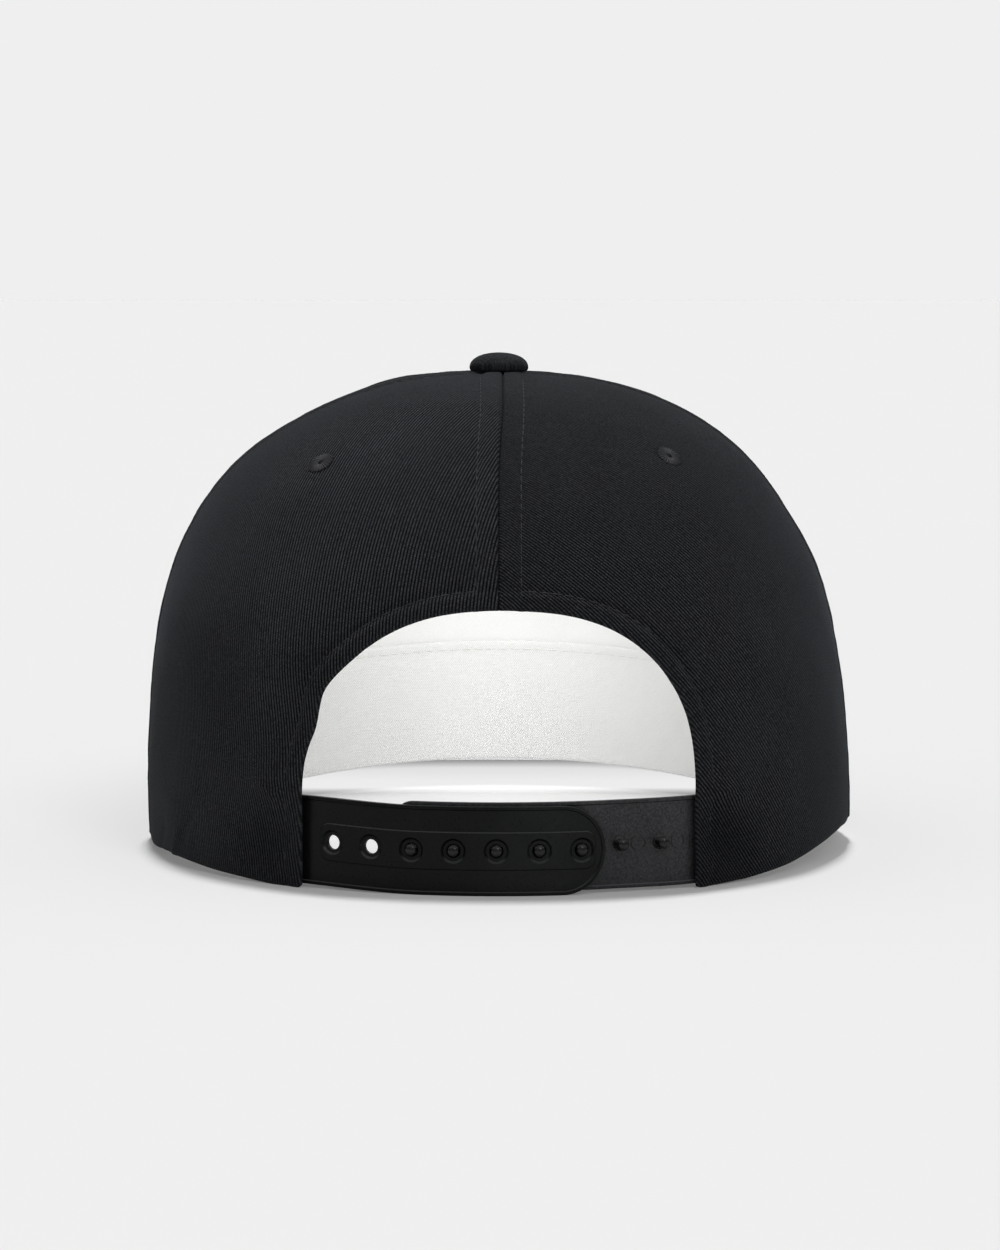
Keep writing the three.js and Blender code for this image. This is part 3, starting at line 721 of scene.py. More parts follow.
# Small creases in the cloth of the back, each from an x and z to an x and z, with its push and width.
creases = [(78.3, 9.3, 79.8, 2.2, 0.5, 0.55), (74.9, 13.5, 78.0, 4.0, -0.5, 0.9),
           (70.0, 19.0, 74.5, 13.5, -0.3, 1.3), (82.4, 9.5, 84.0, 2.0, -0.25, 0.6),
           (57.3, 24.2, 53.2, 21.4, 0.6, 0.9), (52.0, 15.0, 58.0, 6.0, -0.35, 4.0),
           (-50.6, 23.6, -58.3, 20.9, 0.65, 1.0), (-50.5, 15.0, -57.0, 4.0, -0.8, 4.6),
           (-61.5, 14.0, -62.5, 5.0, 0.25, 2.2), (-50.2, 18.6, -54.2, 18.2, -0.2, 0.5),
           (-50.4, 14.6, -54.4, 14.2, -0.2, 0.5), (-50.5, 10.8, -54.5, 10.5, -0.2, 0.5),
           (49.0, 17.5, 52.6, 17.0, -0.18, 0.5), (49.0, 13.4, 52.6, 13.0, -0.18, 0.5)]


def creaseLift(points):
    lift = 0
    flat = points[..., [0, 2]]
    for startX, startZ, endX, endZ, push, width in creases:
        line = np.array([(startX, startZ), (endX, endZ)])
        lift = lift + push * np.exp(-(lineDistance(flat, line) / width) ** 2)
    return lift * (points[..., 1] > 0)


# How far the cloth stands out from the plain surface, from its distances to the hem and the seams.
def clothLift(points, hem, seam):
    swell = panelCloth["swell"] * (1 - smoothStep(seam, *panelCloth["swellFade"]))
    swell = np.maximum(swell, panelCloth["hemSwell"] * (1 - smoothStep(hem, *panelCloth["hemFade"])))
    pull = np.exp(-((seam - panelCloth["seamStitch"]) / panelCloth["pullWide"]) ** 2)
    pull = np.maximum(pull, np.exp(-((hem - panelCloth["hemStitch"]) / panelCloth["pullWide"]) ** 2))
    near = 1 - smoothStep(np.minimum(hem, seam), *panelCloth["puckerFade"])
    pucker = slowNoise(points, panelCloth["puckerSize"], 7.0) * panelCloth["pucker"] * near
    ripples = panelCloth["ripples"] * slowNoise(points, panelCloth["rippleSize"], 11.0)
    waves = slowNoise(points, panelCloth["waveSize"], 3.0) + ripples
    waves = waves * panelCloth["waves"] * smoothStep(seam, *panelCloth["waveFade"])
    return swell - panelCloth["pull"] * pull + pucker + waves + creaseLift(points)


# Painted shade and light on the back: darker in the dents low beside the opening and over parts of the
# sides and top, lighter in a few places. An x and z on the back, how wide and tall, and by how much.
paintedShadePatches = [(-53, 10, 9, 10, -0.6), (55, 9, 10, 9, -0.42), (79, 62, 17, 24, -0.36),
              (-68, 86, 26, 26, -0.22), (-14, 92, 48, 32, -0.3), (-56, 48, 11, 24, 0.24),
              (55, 45, 7, 9, 0.24), (-60, 26, 12, 14, 0.05), (64, 86, 22, 22, -0.16),
              (84, 25, 8, 30, -0.08), (-84, 30, 10, 40, -0.14)]


def paintedShading(points):
    shade = np.ones(points.shape[:-1])
    for x, z, wide, tall, amount in paintedShadePatches:
        far = ((points[..., 0] - x) / wide) ** 2 + ((points[..., 2] - z) / tall) ** 2
        shade = shade * (1 + amount * np.exp(-far) * (points[..., 1] > 0) * (points[..., 0] * x > 0))
    return shade


# How plainly the twill's lines show, in their bump and in their painted groove shade: less round the sides,
# near the top and high on the wearer's right, and more low down beside the opening on that side. The pairs
# are degrees round from the back, or heights.
weaveShowing = {"middle": 1.3, "sideLoss": 0.85, "sides": (34, 66), "frontLoss": 0.5, "front": (75, 95),
           "topLoss": 0.75, "top": (109, 115), "rightLoss": 0.45, "right": (70, 90),
           "lowGain": 0.9, "low": (20, 26), "besideOpening": (44, 54),
           "patchy": 0.5, "patchSize": 22, "least": 0.12, "most": 2}


def plainness(azimuth, points):
    around = np.abs(signedAzimuth(azimuth))
    height = points[..., 2]
    onRight = points[..., 0] < 0
    sides = weaveShowing["middle"] - weaveShowing["sideLoss"] * smoothStep(around, *weaveShowing["sides"])
    top = 1 - weaveShowing["topLoss"] * smoothStep(height, *weaveShowing["top"])
    right = 1 - weaveShowing["rightLoss"] * onRight * smoothStep(height, *weaveShowing["right"])
    beside = 1 - smoothStep(around, *weaveShowing["besideOpening"])
    low = 1 + weaveShowing["lowGain"] * onRight * (1 - smoothStep(height, *weaveShowing["low"])) * beside
    front = 1 - weaveShowing["frontLoss"] * smoothStep(around, *weaveShowing["front"])
    patchy = 1 + weaveShowing["patchy"] * slowNoise(points, weaveShowing["patchSize"], 21.0)
    return np.clip(sides * top * right * low * front * patchy, weaveShowing["least"], weaveShowing["most"])


# The back seam leans a little to the wearer's right near the button, and the cloth beside it as well.
backSeam = {"lean": 1.0, "straightFrom": (0.2, 0.42), "reach": 60, "narrowest": 0.8}


def seamLean(azimuth, share):
    width = fromTable(alongTable, 5.0, share) - fromTable(alongTable, -5.0, share)
    beside = np.clip(1 - np.abs(azimuth) / backSeam["reach"], 0, 1)
    lean = backSeam["lean"] * (1 - smoothStep(share, *backSeam["straightFrom"])) * beside
    return -lean * 10 / np.maximum(width, backSeam["narrowest"])


# The azimuths and shares of a panel's grid, whose last row follows the panel's lower edge.
def panelGrid(panel, lower, lowerPoints, rear):
    lengths = lengthsAlong(lowerPoints)
    columns = spaced(lengths[-1], True, True)
    lowAzimuth = np.interp(columns, lengths, lower[:, 0])
    lowShare = np.interp(columns, lengths, lower[:, 1])
    topAzimuth = panel["from"] + (panel["to"] - panel["from"]) * columns / lengths[-1]
    deepest = float(fromTable(downTable, panel["from"] if rear else panel["to"], 1.0))
    steps = spaced(deepest, False, True)
    fine = deepest - steps[steps > deepest - panelCloth["fineReach"] - 0.01]
    columnLength = fromTable(downTable, lowAzimuth, lowShare)
    fineShare = 1 - fine[:, None] / columnLength
    coarse = np.linspace(0, 1, len(steps) - len(fine) + 1)[:-1]
    down = np.concatenate([coarse[:, None] * fineShare[0], fineShare])
    shares = lowShare * down
    azimuths = topAzimuth + (lowAzimuth - topAzimuth) * down
    if rear:
        azimuths = azimuths + seamLean(azimuths, shares)
    slopes = fromTable(slopeTable, azimuths, shares)
    slopes[-1] = np.where(lowShare > 0.9999, 90, slopes[-1])
    return azimuths, shares, slopes


def panelPiece(panel):
    lower, archCount = lowerEdge(panel)
    rear = archCount > 0
    lowerPoints = clothPoint(lower[:, 0], lower[:, 1])
    azimuths, shares, slopes = panelGrid(panel, lower, lowerPoints, rear)
    surface = crownPoint(azimuths, slopes)
    seams = [surface[:, 0], surface[:, -1]]
    seam = np.minimum(lineDistance(surface, seams[0]), lineDistance(surface, seams[1]))
    edge = lineDistance(surface, lowerPoints)
    seam[:, 0] = seam[:, -1] = 0
    edge[-1] = 0
    hem = np.full(seam.shape, 99.0)
    if rear:
        arch = lowerPoints[:archCount] if panel["side"] > 0 else lowerPoints[-archCount:]
        hem = lineDistance(surface, arch)
    roll = panelCloth["roll"]
    dip = roll * np.exp(-(seam / panelCloth["seamDip"]) ** 2)
    sunk = np.maximum(edgeDrop(edge, roll), dip)
    lift = clothLift(surface, hem, seam)
    atEdge = 1 - smoothStep(np.minimum(edge, seam), *panelCloth["edgeFade"])
    outer = crownPoint(azimuths, slopes, sunk - lift)
    inner = crownPoint(azimuths, slopes, crown["wall"] - sunk - lift * atEdge)
    middle = (panel["from"] + panel["to"]) / 2
    flatX = fromTable(alongTable, azimuths, shares) - fromTable(alongTable, middle, shares)
    flatY = fromTable(downTable, azimuths, shares)
    turn = math.radians(panel["twill"])
    weave = np.stack([flatX * math.sin(turn) + flatY * math.cos(turn),
                      flatX * math.cos(turn) - flatY * math.sin(turn), plainness(azimuths, surface)], -1)
    # z carries the painted shade and light of the back.
    edges = np.stack([np.minimum(hem, edge), seam, paintedShading(surface)], -1)
    inside = twillCloth if rear else liningCloth
    piece = closedShell(panel["name"], outer, inner, twillCloth, inside, weave=weave, edges=edges)
    finishPiece(piece, "twill", panel["node"])


for panel in panels:
    panelPiece(panel)


# Stitching: one stitch, repeated by an array and bent along its line on the cloth.

stitching = {"pitch": 2.9, "length": 2.6, "width": 0.36, "proud": 0.02, "lowest": 1.5}


def stitchLine(points, pitch, length, width, material):
    deselectAll()
    points = toMetres(points)
    total = lengthsAlong(points)[-1]
    line = bpy.data.curves.new("stitchLine", "CURVE")
    line.dimensions = "3D"
    spline = line.splines.new("POLY")
    spline.points.add(len(points) - 1)
    spline.points.foreach_set("co", np.c_[points, np.ones(len(points))].ravel())
    guide = bpy.data.objects.new("stitchGuide", line)
    scene.collection.objects.link(guide)
    bpy.ops.mesh.primitive_uv_sphere_add(
        segments=6, ring_count=6, radius=0.5, location=(length * milli / 2, 0, 0),
        rotation=(0, math.pi / 2, 0), scale=(width * milli, width * milli, length * milli))
    stitch = bpy.context.object
    applyTransforms()
    stitch.data.materials.append(material)
    count = max(int(total / (pitch * milli)), 1)
    applyModifier(stitch, "ARRAY", count=count, use_relative_offset=False, use_constant_offset=True,
                  constant_offset_displace=(total / count, 0, 0))
    applyModifier(stitch, "CURVE", object=guide, deform_axis="POS_X")
    bpy.data.objects.remove(guide)
    return stitch


def stitchedPiece(name, lines, slot, material=None, **changes):
    row = {**stitching, **changes}
    material = material or stitchThread
    parts = [stitchLine(points, row["pitch"], row["length"], row["width"], material) for points in lines]
    whole = joinPieces(parts, name)
    faceOutwards(whole)
    bpy.ops.object.shade_smooth()
    finishPiece(whole, slot)


# The azimuths at an offset, or several, to the side of an azimuth at each share.
def azimuthsBeside(azimuth, offset, shares, reach):
    columns = np.arange(azimuth - reach, azimuth + reach + 0.5, 0.5)
    found = []
    for share in shares:
        lengths = fromTable(alongTable, columns, share) - fromTable(alongTable, azimuth, share)
        found.append(np.interp(offset, lengths, columns))
    return np.array(found)


# The line on the cloth at an offset beside a seam, lifted to lie in the cloth's pulled-in groove.
def besideSeam(azimuth, offset, shares):
    azimuths = azimuthsBeside(azimuth, offset, shares, 60)
    if azimuth == 0:
        azimuths = azimuths + seamLean(azimuths, shares)
    points = clothPoint(azimuths, shares)
    far = np.full(len(points), 99.0)
    lift = clothLift(points, far, np.full(len(points), abs(offset))) + stitching["proud"]
    return clothPoint(azimuths, shares, -lift)


# The line at an offset into the cloth from the opening's edge, down to a distance above the rim.
def besideOpening(side, offset):
    path = np.array(openingPath(side))
    edge = clothPoint(path[:, 0], path[:, 1])
    normals = crownNormal(path[:, 0], fromTable(slopeTable, path[:, 0], path[:, 1]))
    along = unit(np.gradient(edge, axis=0))
    into = np.cross(along, normals) * side
    goals = edge + into * offset
    line = np.array([onCloth(goal[0], goal[2], azimuth) for azimuth, goal in zip(path[:, 0], goals)])
    points = clothPoint(line[:, 0], line[:, 1])
    keep = points[:, 2] > stitching["lowest"]
    line, points = line[keep], points[keep]
    far = np.full(len(points), 99.0)
    lift = clothLift(points, np.full(len(points), offset), far) + stitching["proud"]
    return clothPoint(line[:, 0], line[:, 1], -lift)


def crownStitches():
    offset = panelCloth["seamStitch"]
    archShare = openingPath(1)[0][1]
    lines = []
    for side in (-1, 1):
        lines.append(besideSeam(0, offset * side, np.linspace(0.07, archShare - 0.012, 60)))
        for seam in (crown["rearSeam"], crown["frontSeam"]):
            for turn in (-1, 1):
                lines.append(besideSeam(seam * turn, offset * side, np.linspace(0.07, 0.985, 80)))
    left = besideOpening(1, panelCloth["hemStitch"])
    right = besideOpening(-1, panelCloth["hemStitch"])
    lines.append(np.concatenate([left[::-1], right[1:]]))
    stitchedPiece("crownStitches", lines, "thread")


crownStitches()

# Eyelets: a sewn hole whose ring is thread laid side by side, dipping into the middle.

eyelet = {"outer": 3.5, "inner": 0.6, "threads": 26, "threadWidth": 0.5, "threadTall": 0.62, "rise": 0.15,
          "uneven": 0.09, "coreTall": 0.2, "cup": 0.9, "cupTop": 0.1}
eyeletPlaces = [("eyeletRearLeft", "eyelet_rear_left", 44.7, 43.2),
                ("eyeletRearRight", "eyelet_rear_right", -44.9, 39.6),
                ("eyeletSideLeft", "eyelet_side_left", 115, 41),
                ("eyeletSideRight", "eyelet_side_right", -115, 41)]


def eyeletPiece(name, node, azimuth, slope):
    deselectAll()
    middle = (eyelet["outer"] + eyelet["inner"]) / 2
    length = eyelet["outer"] - eyelet["inner"]
    parts = []
    for index in range(eyelet["threads"]):
        turn = 2 * math.pi * index / eyelet["threads"]
        reach = length * (1 + eyelet["uneven"] * math.sin(index * 2.4))
        bpy.ops.mesh.primitive_uv_sphere_add(
            segments=8, ring_count=8, radius=0.5, rotation=(0, math.pi / 2, 0),
            scale=(eyelet["threadTall"], eyelet["threadWidth"], reach),
            location=(middle, 0, eyelet["rise"]))
        thread = bpy.context.object
        applyTransforms()
        thread.rotation_euler[2] = turn
        applyTransforms()
        parts.append(thread)
    bpy.ops.mesh.primitive_torus_add(
        major_segments=40, minor_segments=10, major_radius=middle, minor_radius=length / 2 * 0.8)
    core = bpy.context.object
    core.scale[2] = eyelet["coreTall"]
    applyTransforms()
    parts.append(core)
    whole = joinPieces(parts, name)
    dress(whole, eyeletThread)
    # A dark cup in the hole: painted shade standing for the dark inside.
    bpy.ops.mesh.primitive_cylinder_add(
        vertices=24, radius=eyelet["inner"] * 1.15, depth=eyelet["cup"], end_fill_type="NGON",
        location=(0, 0, eyelet["cupTop"] - eyelet["cup"] / 2))
    cup = bpy.context.object
    dress(cup, holeShade)
    whole = joinPieces([whole, cup], name)
    point = crownPoint(azimuth, slope)
    normal = Vector(crownNormal(np.array(azimuth, float), np.array(slope, float)))
    whole.scale = (milli, milli, milli)
    whole.rotation_euler = normal.to_track_quat("Z", "Y").to_euler()
    whole.location = toMetres(point)
    pick(whole)
    applyTransforms()
    bpy.ops.object.shade_smooth()
    finishPiece(whole, "thread", node)


# The colour of the painted shade inside the eyelets' holes.
holeShade = threadMaterial("holeShade", {
    "dark": (0.003, 0.003, 0.0035), "light": (0.006, 0.006, 0.007), "gloss": 0.05})
eyeletThread = threadMaterial("eyeletThread", {
    "dark": (0.014, 0.0145, 0.017), "light": (0.048, 0.049, 0.055), "gloss": 0.1})
for place in eyeletPlaces:
    eyeletPiece(*place)

# Button: a domed cap covered with the same cloth, tucked under at its edge.

button = {"profile": [(0.8, -1.6), (3.0, -1.6), (3.05, -0.3), (6.9, -0.15), (7.4, 0.35), (7.52, 1.0),
                      (7.42, 1.7), (7.05, 2.45), (6.35, 3.2), (5.25, 3.85), (3.8, 4.35), (2.0, 4.66),
                      (0.6, 4.76)], "segments": 72, "rise": 0.25, "plainness": 0.15}
farFromEdges = 50


# A round form along z, from its list of radius and height. It is left in edit mode with its top selected.
def turnProfile(profile, segments, middle=(0, 0, 0), ends="NOTHING"):
    x, y, z = middle
    radius, height = profile[0]
    bpy.ops.mesh.primitive_circle_add(
        vertices=segments, radius=radius, fill_type=ends, location=(x, y, z + height))
    part = bpy.context.object
    applyTransforms()
    editMode()
    for nextRadius, nextHeight in profile[1:]:
        bpy.ops.mesh.extrude_region_move(TRANSFORM_OT_translate={"value": (0, 0, nextHeight - height)})
        share = nextRadius / radius
        bpy.ops.transform.resize(value=(share, share, 1), center_override=(x, y, z + nextHeight))
        radius, height = nextRadius, nextHeight
    return part


def buttonPiece():
    deselectAll()
    piece = turnProfile(button["profile"], button["segments"])
    bpy.ops.mesh.edge_face_add()
    objectMode()
    piece.name = "coveredButton"
    places = readTriples(piece.data.vertices, "co")
    x, y = places[:, 0], places[:, 1]
    weave = np.stack([x * 0.8 + y * 0.6, y * 0.8 - x * 0.6, 0 * x + button["plainness"]], -1)
    setAttribute(piece, "weave", weave)
    setAttribute(piece, "edges", np.ones_like(places) * (farFromEdges, farFromEdges, 1))
    moveVertices(piece, places + (0, 0, crown["height"] + button["rise"]))
    dress(piece, buttonCloth)
    faceOutwards(piece)
    applyModifier(piece, "SUBSURF", levels=1, render_levels=1)
    bpy.ops.object.shade_smooth()
    finishPiece(piece, "twill", "button")


buttonCloth = clothMaterial("buttonCloth", {**blackTwill, "spacing": 0.7, "relief": 0.4, "uneven": 0.2})
buttonPiece()

# Visor: a flat brim between two faces of cloth, with rows of stitching along its edge.

visorCloth = {"roll": 1.7, "rollSteps": (0, 0.12, 0.45, 0.95, 1.7), "cell": 2.0, "deepRows": 46,
              "rows": 8, "firstRow": 5.5, "rowStep": 6.2, "pull": 0.22, "pullWide": 0.9, "pullFade": (1, 4),
              "waves": 0.25, "waveSize": 30, "waveFade": (0, 12), "plainness": 0.4,
              "pitch": 3.1, "length": 2.7, "clearOfCrown": 1.03}


def visorOutline(angle, corner):
    side, reach = np.sign(angle), abs(angle)
    if reach <= visor["frontAngle"]:
        share = math.pi / 2 * reach / visor["frontAngle"]
        front = crown["halfDepth"] + visor["length"] - visor["widest"]
        x = visor["halfWidth"] * math.sin(share) ** (2 / visor["square"])
        y = visor["widest"] + front * max(math.cos(share), 0) ** (2 / visor["square"])
        return side * x, -y
    back = (reach - visor["frontAngle"]) / (180 - visor["corner"] - visor["frontAngle"])
    cornerX = abs(corner[0]) + visor["cornerWidth"]
    x = visor["halfWidth"] + (cornerX - visor["halfWidth"]) * back ** 2
    return side * x, -visor["widest"] + (corner[1] + visor["widest"]) * back


def underCloth(angle):
    turn = math.radians(angle)
    return ((crown["halfWidth"] - crown["wall"]) * math.sin(turn),
            -(crown["halfDepth"] - crown["wall"]) * math.cos(turn))


def visorPlan():
    spread = 180 - visor["corner"]
    corner = underCloth(spread)
    angles = np.linspace(-spread, spread, 1201)
    outline = np.array([visorOutline(angle, corner) for angle in angles])
    inner = np.array([underCloth(angle) for angle in angles])
    return outline, inner


def visorRowOffsets():
    return [visorCloth["firstRow"] + row * visorCloth["rowStep"] for row in range(visorCloth["rows"])]


def visorPiece():
    outline, inner = visorPlan()
    lengths = lengthsAlong(outline)
    near = np.array(visorCloth["rollSteps"])
    total = lengths[-1]
    middle = np.linspace(near[-1], total - near[-1], int(total / visorCloth["cell"]))
    columns = np.r_[near[:-1], middle, total - near[:-1][::-1]]
    edge = np.stack([np.interp(columns, lengths, outline[:, axis]) for axis in (0, 1)], -1)
    root = np.stack([np.interp(columns, lengths, inner[:, axis]) for axis in (0, 1)], -1)
    reach = np.linalg.norm(edge - root, axis=1)
    rows = np.r_[near / reach.max(), np.linspace(near[-1] / reach.max(), 1, visorCloth["deepRows"])[1:]]
    share = 1 - rows[:, None]
    plan = root + (edge - root) * share[..., None]
    points = np.dstack([plan, 0 * plan[..., 0]])
    outlinePoints = np.dstack([outline[None], 0 * outline[None, :, :1]])[0][::4]
    gap = lineDistance(points, outlinePoints)
    gap[0] = 0
    side = np.minimum(lineDistance(points, points[:, 0]), lineDistance(points, points[:, -1]))
    side[:, 0] = side[:, -1] = 0
    nearest = np.minimum(gap, side)
    pull = 0 * gap
    for offset in visorRowOffsets():
        pull = np.maximum(pull, np.exp(-((gap - offset) / visorCloth["pullWide"]) ** 2))
    x, y = plan[..., 0], plan[..., 1]
    waves = slowNoise(points, visorCloth["waveSize"], 5.0) * visorCloth["waves"]
    middle = visorTop(x) + waves * smoothStep(nearest, *visorCloth["waveFade"])
    sunk = edgeDrop(nearest, visorCloth["roll"])
    sunk = sunk + visorCloth["pull"] * pull * smoothStep(nearest, *visorCloth["pullFade"])
    top = np.dstack([plan, middle - sunk])
    low = np.dstack([plan, middle - visor["thickness"] + sunk])
    weave = np.stack([(x + y) * 0.707, (x - y) * 0.707, 0 * x + visorCloth["plainness"]], -1)
    edges = np.stack([gap, side, 0 * gap + 1], -1)
    piece = closedShell("visorCovers", top, low, twillCloth, twillCloth, weave=weave, edges=edges)
    finishPiece(piece, "twill", "visor")


def visorStitches():
    outline = visorPlan()[0]
    normal = np.gradient(outline, axis=0)
    normal = unit(np.stack([-normal[:, 1], normal[:, 0]], -1))
    sunk = visorCloth["pull"] - stitching["proud"]
    lines = []
    for offset in visorRowOffsets():
        line = outline + normal * offset
        outward = np.hypot(line[:, 0] / crown["halfWidth"], line[:, 1] / crown["halfDepth"])
        x, y = line[outward > visorCloth["clearOfCrown"]][::6].T
        lines.append(np.stack([x, y, visorTop(x) - sunk], -1))
        lines.append(np.stack([x, y, visorTop(x) - visor["thickness"] + sunk], -1))
    stitchedPiece("visorStitches", lines, "thread", pitch=visorCloth["pitch"], length=visorCloth["length"])


visorPiece()
visorStitches()

# Sweatband: a soft pale band round the inside of the rim, behind the sewn ends of the straps.

sweatband = {"height": 30, "thickness": 1.2, "endGap": 2.5, "dropWithin": 8, "stitchDown": 2.2,
             "behindStrap": 3.7, "clear": 1.9, "joinsAfter": (1, 9), "endRadius": 90,
             "groove": 0.2, "grooveWide": 0.6,
             "waves": 0.18, "waveSize": 14, "waveFade": (0.6, 6), "pitch": 3.4, "length": 2.8}
strap = {
    "height": 21, "plate": 1.2, "beadRise": 0.3, "beadWidth": 1.0, "beadSlope": 0.22, "edgeRound": 0.26,
    "sag": 0.8, "flatTo": 12, "tuck": 10, "bendEvery": 1.6, "smoothBelow": 38,
    "pitch": 10.1, "holeRadius": 1.7, "firstHole": 26.8, "holes": 7, "pegs": 7, "freeHoles": 2,
    "tipReach": 5.8, "trackHeight": 9, "trackReach": 3.3, "trackRise": 0.28, "trackCorner": 2.4,
    "trackDeep": 0.7, "trackSlope": 0.24, "trackStep": 0.2,
    "sinkRadius": 2.95, "sinkFloor": 2.45, "sinkDeep": 0.55, "clearance": 0.3,
}


def rimLengths():
    azimuths = np.arange(-60, 60.01, 0.05)
    depth = crown["wall"] + strap["clearance"]
    turn = np.radians(azimuths)
    across = (crown["halfWidth"] - depth) * np.cos(turn)
    along = (crown["halfDepth"] - depth) * np.sin(turn)
    lengths = np.cumsum(np.hypot(across, along)) * math.radians(0.05)
    return azimuths, lengths - np.interp(0, azimuths, lengths)


rimAzimuths, rimRun = rimLengths()


def azimuthAtRun(run):
    return np.interp(run, rimRun, rimAzimuths)


def runAtAzimuth(azimuth):
    return float(np.interp(azimuth, rimAzimuths, rimRun))


holeRuns = [runAtAzimuth(strap["firstHole"]) - strap["pitch"] * index for index in range(strap["holes"])]
pegRuns = [holeRuns[0] - strap["pitch"] * (index + strap["freeHoles"]) for index in range(strap["pegs"])]
holeTipRun = holeRuns[-1] - strap["tipReach"]
holeTipAzimuth = float(azimuthAtRun(holeTipRun))
openingRun = runAtAzimuth(openingAzimuth)
strapEnd = float(azimuthAtRun(openingRun + strap["tuck"]))


def outFromBehindStrap(share):
    return sweatband["behindStrap"] + (sweatband["clear"] - sweatband["behindStrap"]) * share


def sweatbandDepth(azimuth):
    start, end = sweatband["joinsAfter"]
    return outFromBehindStrap(smoothStep(np.abs(signedAzimuth(azimuth)), strapEnd + start, strapEnd + end))


# The band's lower edge follows the rim, and drops in front to cover the inner edge of the visor.
def sweatbandFoot(azimuth):
    side = np.abs(signedAzimuth(azimuth))
    dropped = smoothStep(side, visor["corner"], visor["corner"] + sweatband["dropWithin"])
    return rimHeight(azimuth) - dropped * (visor["thickness"] + visor["clearance"])


def bandPoint(azimuth, z, depth):
    points = behindCloth(azimuth, z, depth)
    points[..., 2] = np.minimum(points[..., 2], z)
    return points


def sweatbandPiece():
    start = openingAzimuth + sweatband["endGap"]
    end = 360 - start
    nearEnd = np.array([0, 0.1, 0.35])
    columns = np.r_[start + nearEnd, np.linspace(start + 0.8, end - 0.8, 200), end - nearEnd[::-1]]
    total = sweatband["height"]
    nearEdge = np.array([0, 0.08, 0.25, 0.6])
    rows = np.r_[nearEdge, np.linspace(1.4, total - 1.4, 22), total - nearEdge[::-1]]
    azimuths, heights = np.meshgrid(columns, rows)
    ends = np.radians(np.minimum(azimuths - start, end - azimuths)) * sweatband["endRadius"]
    nearest = np.minimum(np.minimum(heights, total - heights), ends)
    rolled = edgeDrop(nearest, sweatband["thickness"] / 2)
    foot, top = sweatbandFoot(azimuths), rimHeight(azimuths) + total
    levels = foot + (top - foot) * heights / total
    depth = sweatbandDepth(azimuths)
    offStitch = (total - heights - sweatband["stitchDown"]) / sweatband["grooveWide"]
    groove = sweatband["groove"] * np.exp(-offStitch ** 2)
    outer = bandPoint(azimuths, levels, depth + rolled)
    waves = slowNoise(outer, sweatband["waveSize"], 2.0) * sweatband["waves"]
    waves = waves * smoothStep(nearest, *sweatband["waveFade"])
    inner = bandPoint(azimuths, levels, depth + sweatband["thickness"] - rolled - groove + waves)
    lengths = fromTable(alongTable, azimuths, 0.9)
    weave = np.stack([lengths * 0.8 + heights * 0.6, lengths * 0.6 - heights * 0.8, 0 * lengths + 1], -1)
    edges = np.stack([nearest, 0 * nearest + farFromEdges, 0 * nearest + 1], -1)
    piece = closedShell("sweatBand", outer[::-1], inner[::-1], bandCloth, bandCloth,
                        weave=weave[::-1], edges=edges[::-1])
    finishPiece(piece, "band_cloth", "sweatband")
    line = np.linspace(start + 1.5, end - 1.5, 160)
    levels = rimHeight(line) + total - sweatband["stitchDown"]
    depth = sweatbandDepth(line) + sweatband["thickness"] + stitching["proud"]
    stitchedPiece("bandStitches", [bandPoint(line, levels, depth)], "thread", paleThread,
                  pitch=sweatband["pitch"], length=sweatband["length"])


bandCloth = clothMaterial("bandCloth", {**paleLining, "spacing": 0.45, "yarn": 0.45, "relief": 0.6})
sweatbandPiece()

# Tapes that cover the seams inside the crown.

tape = {"thickness": 0.5, "gap": 0.25, "top": 0.06, "rows": 70, "rowStep": 1.5,
        "offsets": (-6, -5.9, -5.7, *np.linspace(-5.3, 5.3, 9), 5.7, 5.9, 6)}


def tapePiece(name, azimuth, low):
    shares = np.linspace(tape["top"], low, tape["rows"])
    offsets = np.array(tape["offsets"])
    azimuths = azimuthsBeside(azimuth, offsets, shares, 75)
    slopes = fromTable(slopeTable, azimuths, shares[:, None])
    fromTop = np.arange(tape["rows"])
    ends = np.minimum(fromTop, fromTop[::-1])[:, None] * tape["rowStep"]
    nearest = np.minimum(offsets[-1] - np.abs(offsets), ends)
    rolled = edgeDrop(nearest, tape["thickness"] / 2)
    depth = crown["wall"] + tape["gap"]
    outer = crownPoint(azimuths, slopes, depth + rolled)
    inner = crownPoint(azimuths, slopes, depth + tape["thickness"] - rolled)
    flat = np.stack([offsets + 0 * slopes, shares[:, None] * 150 + 0 * slopes, 0 * slopes + 1], -1)
    edges = np.stack([nearest, 0 * nearest + farFromEdges, 0 * nearest + 1], -1)
    piece = closedShell(name, outer, inner, bandCloth, bandCloth, weave=flat, edges=edges)
    finishPiece(piece, "band_cloth")


archShare = openingPath(1)[0][1]
for place in (("tapeBack", 0, archShare - 0.02),
              ("tapeRearLeft", crown["rearSeam"], 0.74), ("tapeRearRight", -crown["rearSeam"], 0.74),
              ("tapeFrontLeft", crown["frontSeam"], 0.7),
              ("tapeFrontRight", 360 - crown["frontSeam"], 0.7)):
    tapePiece(*place)


# Straps: each modelled flat in millimetres, x along the rim towards the wearer's left, y up and z out
# to the face of its beads, then laid round the back of the cap.

def strapFoot(azimuth):
    return strap["sag"] * smoothStep(np.abs(azimuth), strap["flatTo"], openingAzimuth)


def pegStrapFace(azimuth):
    return outFromBehindStrap(smoothStep(-azimuth, -holeTipAzimuth + 1, openingAzimuth))


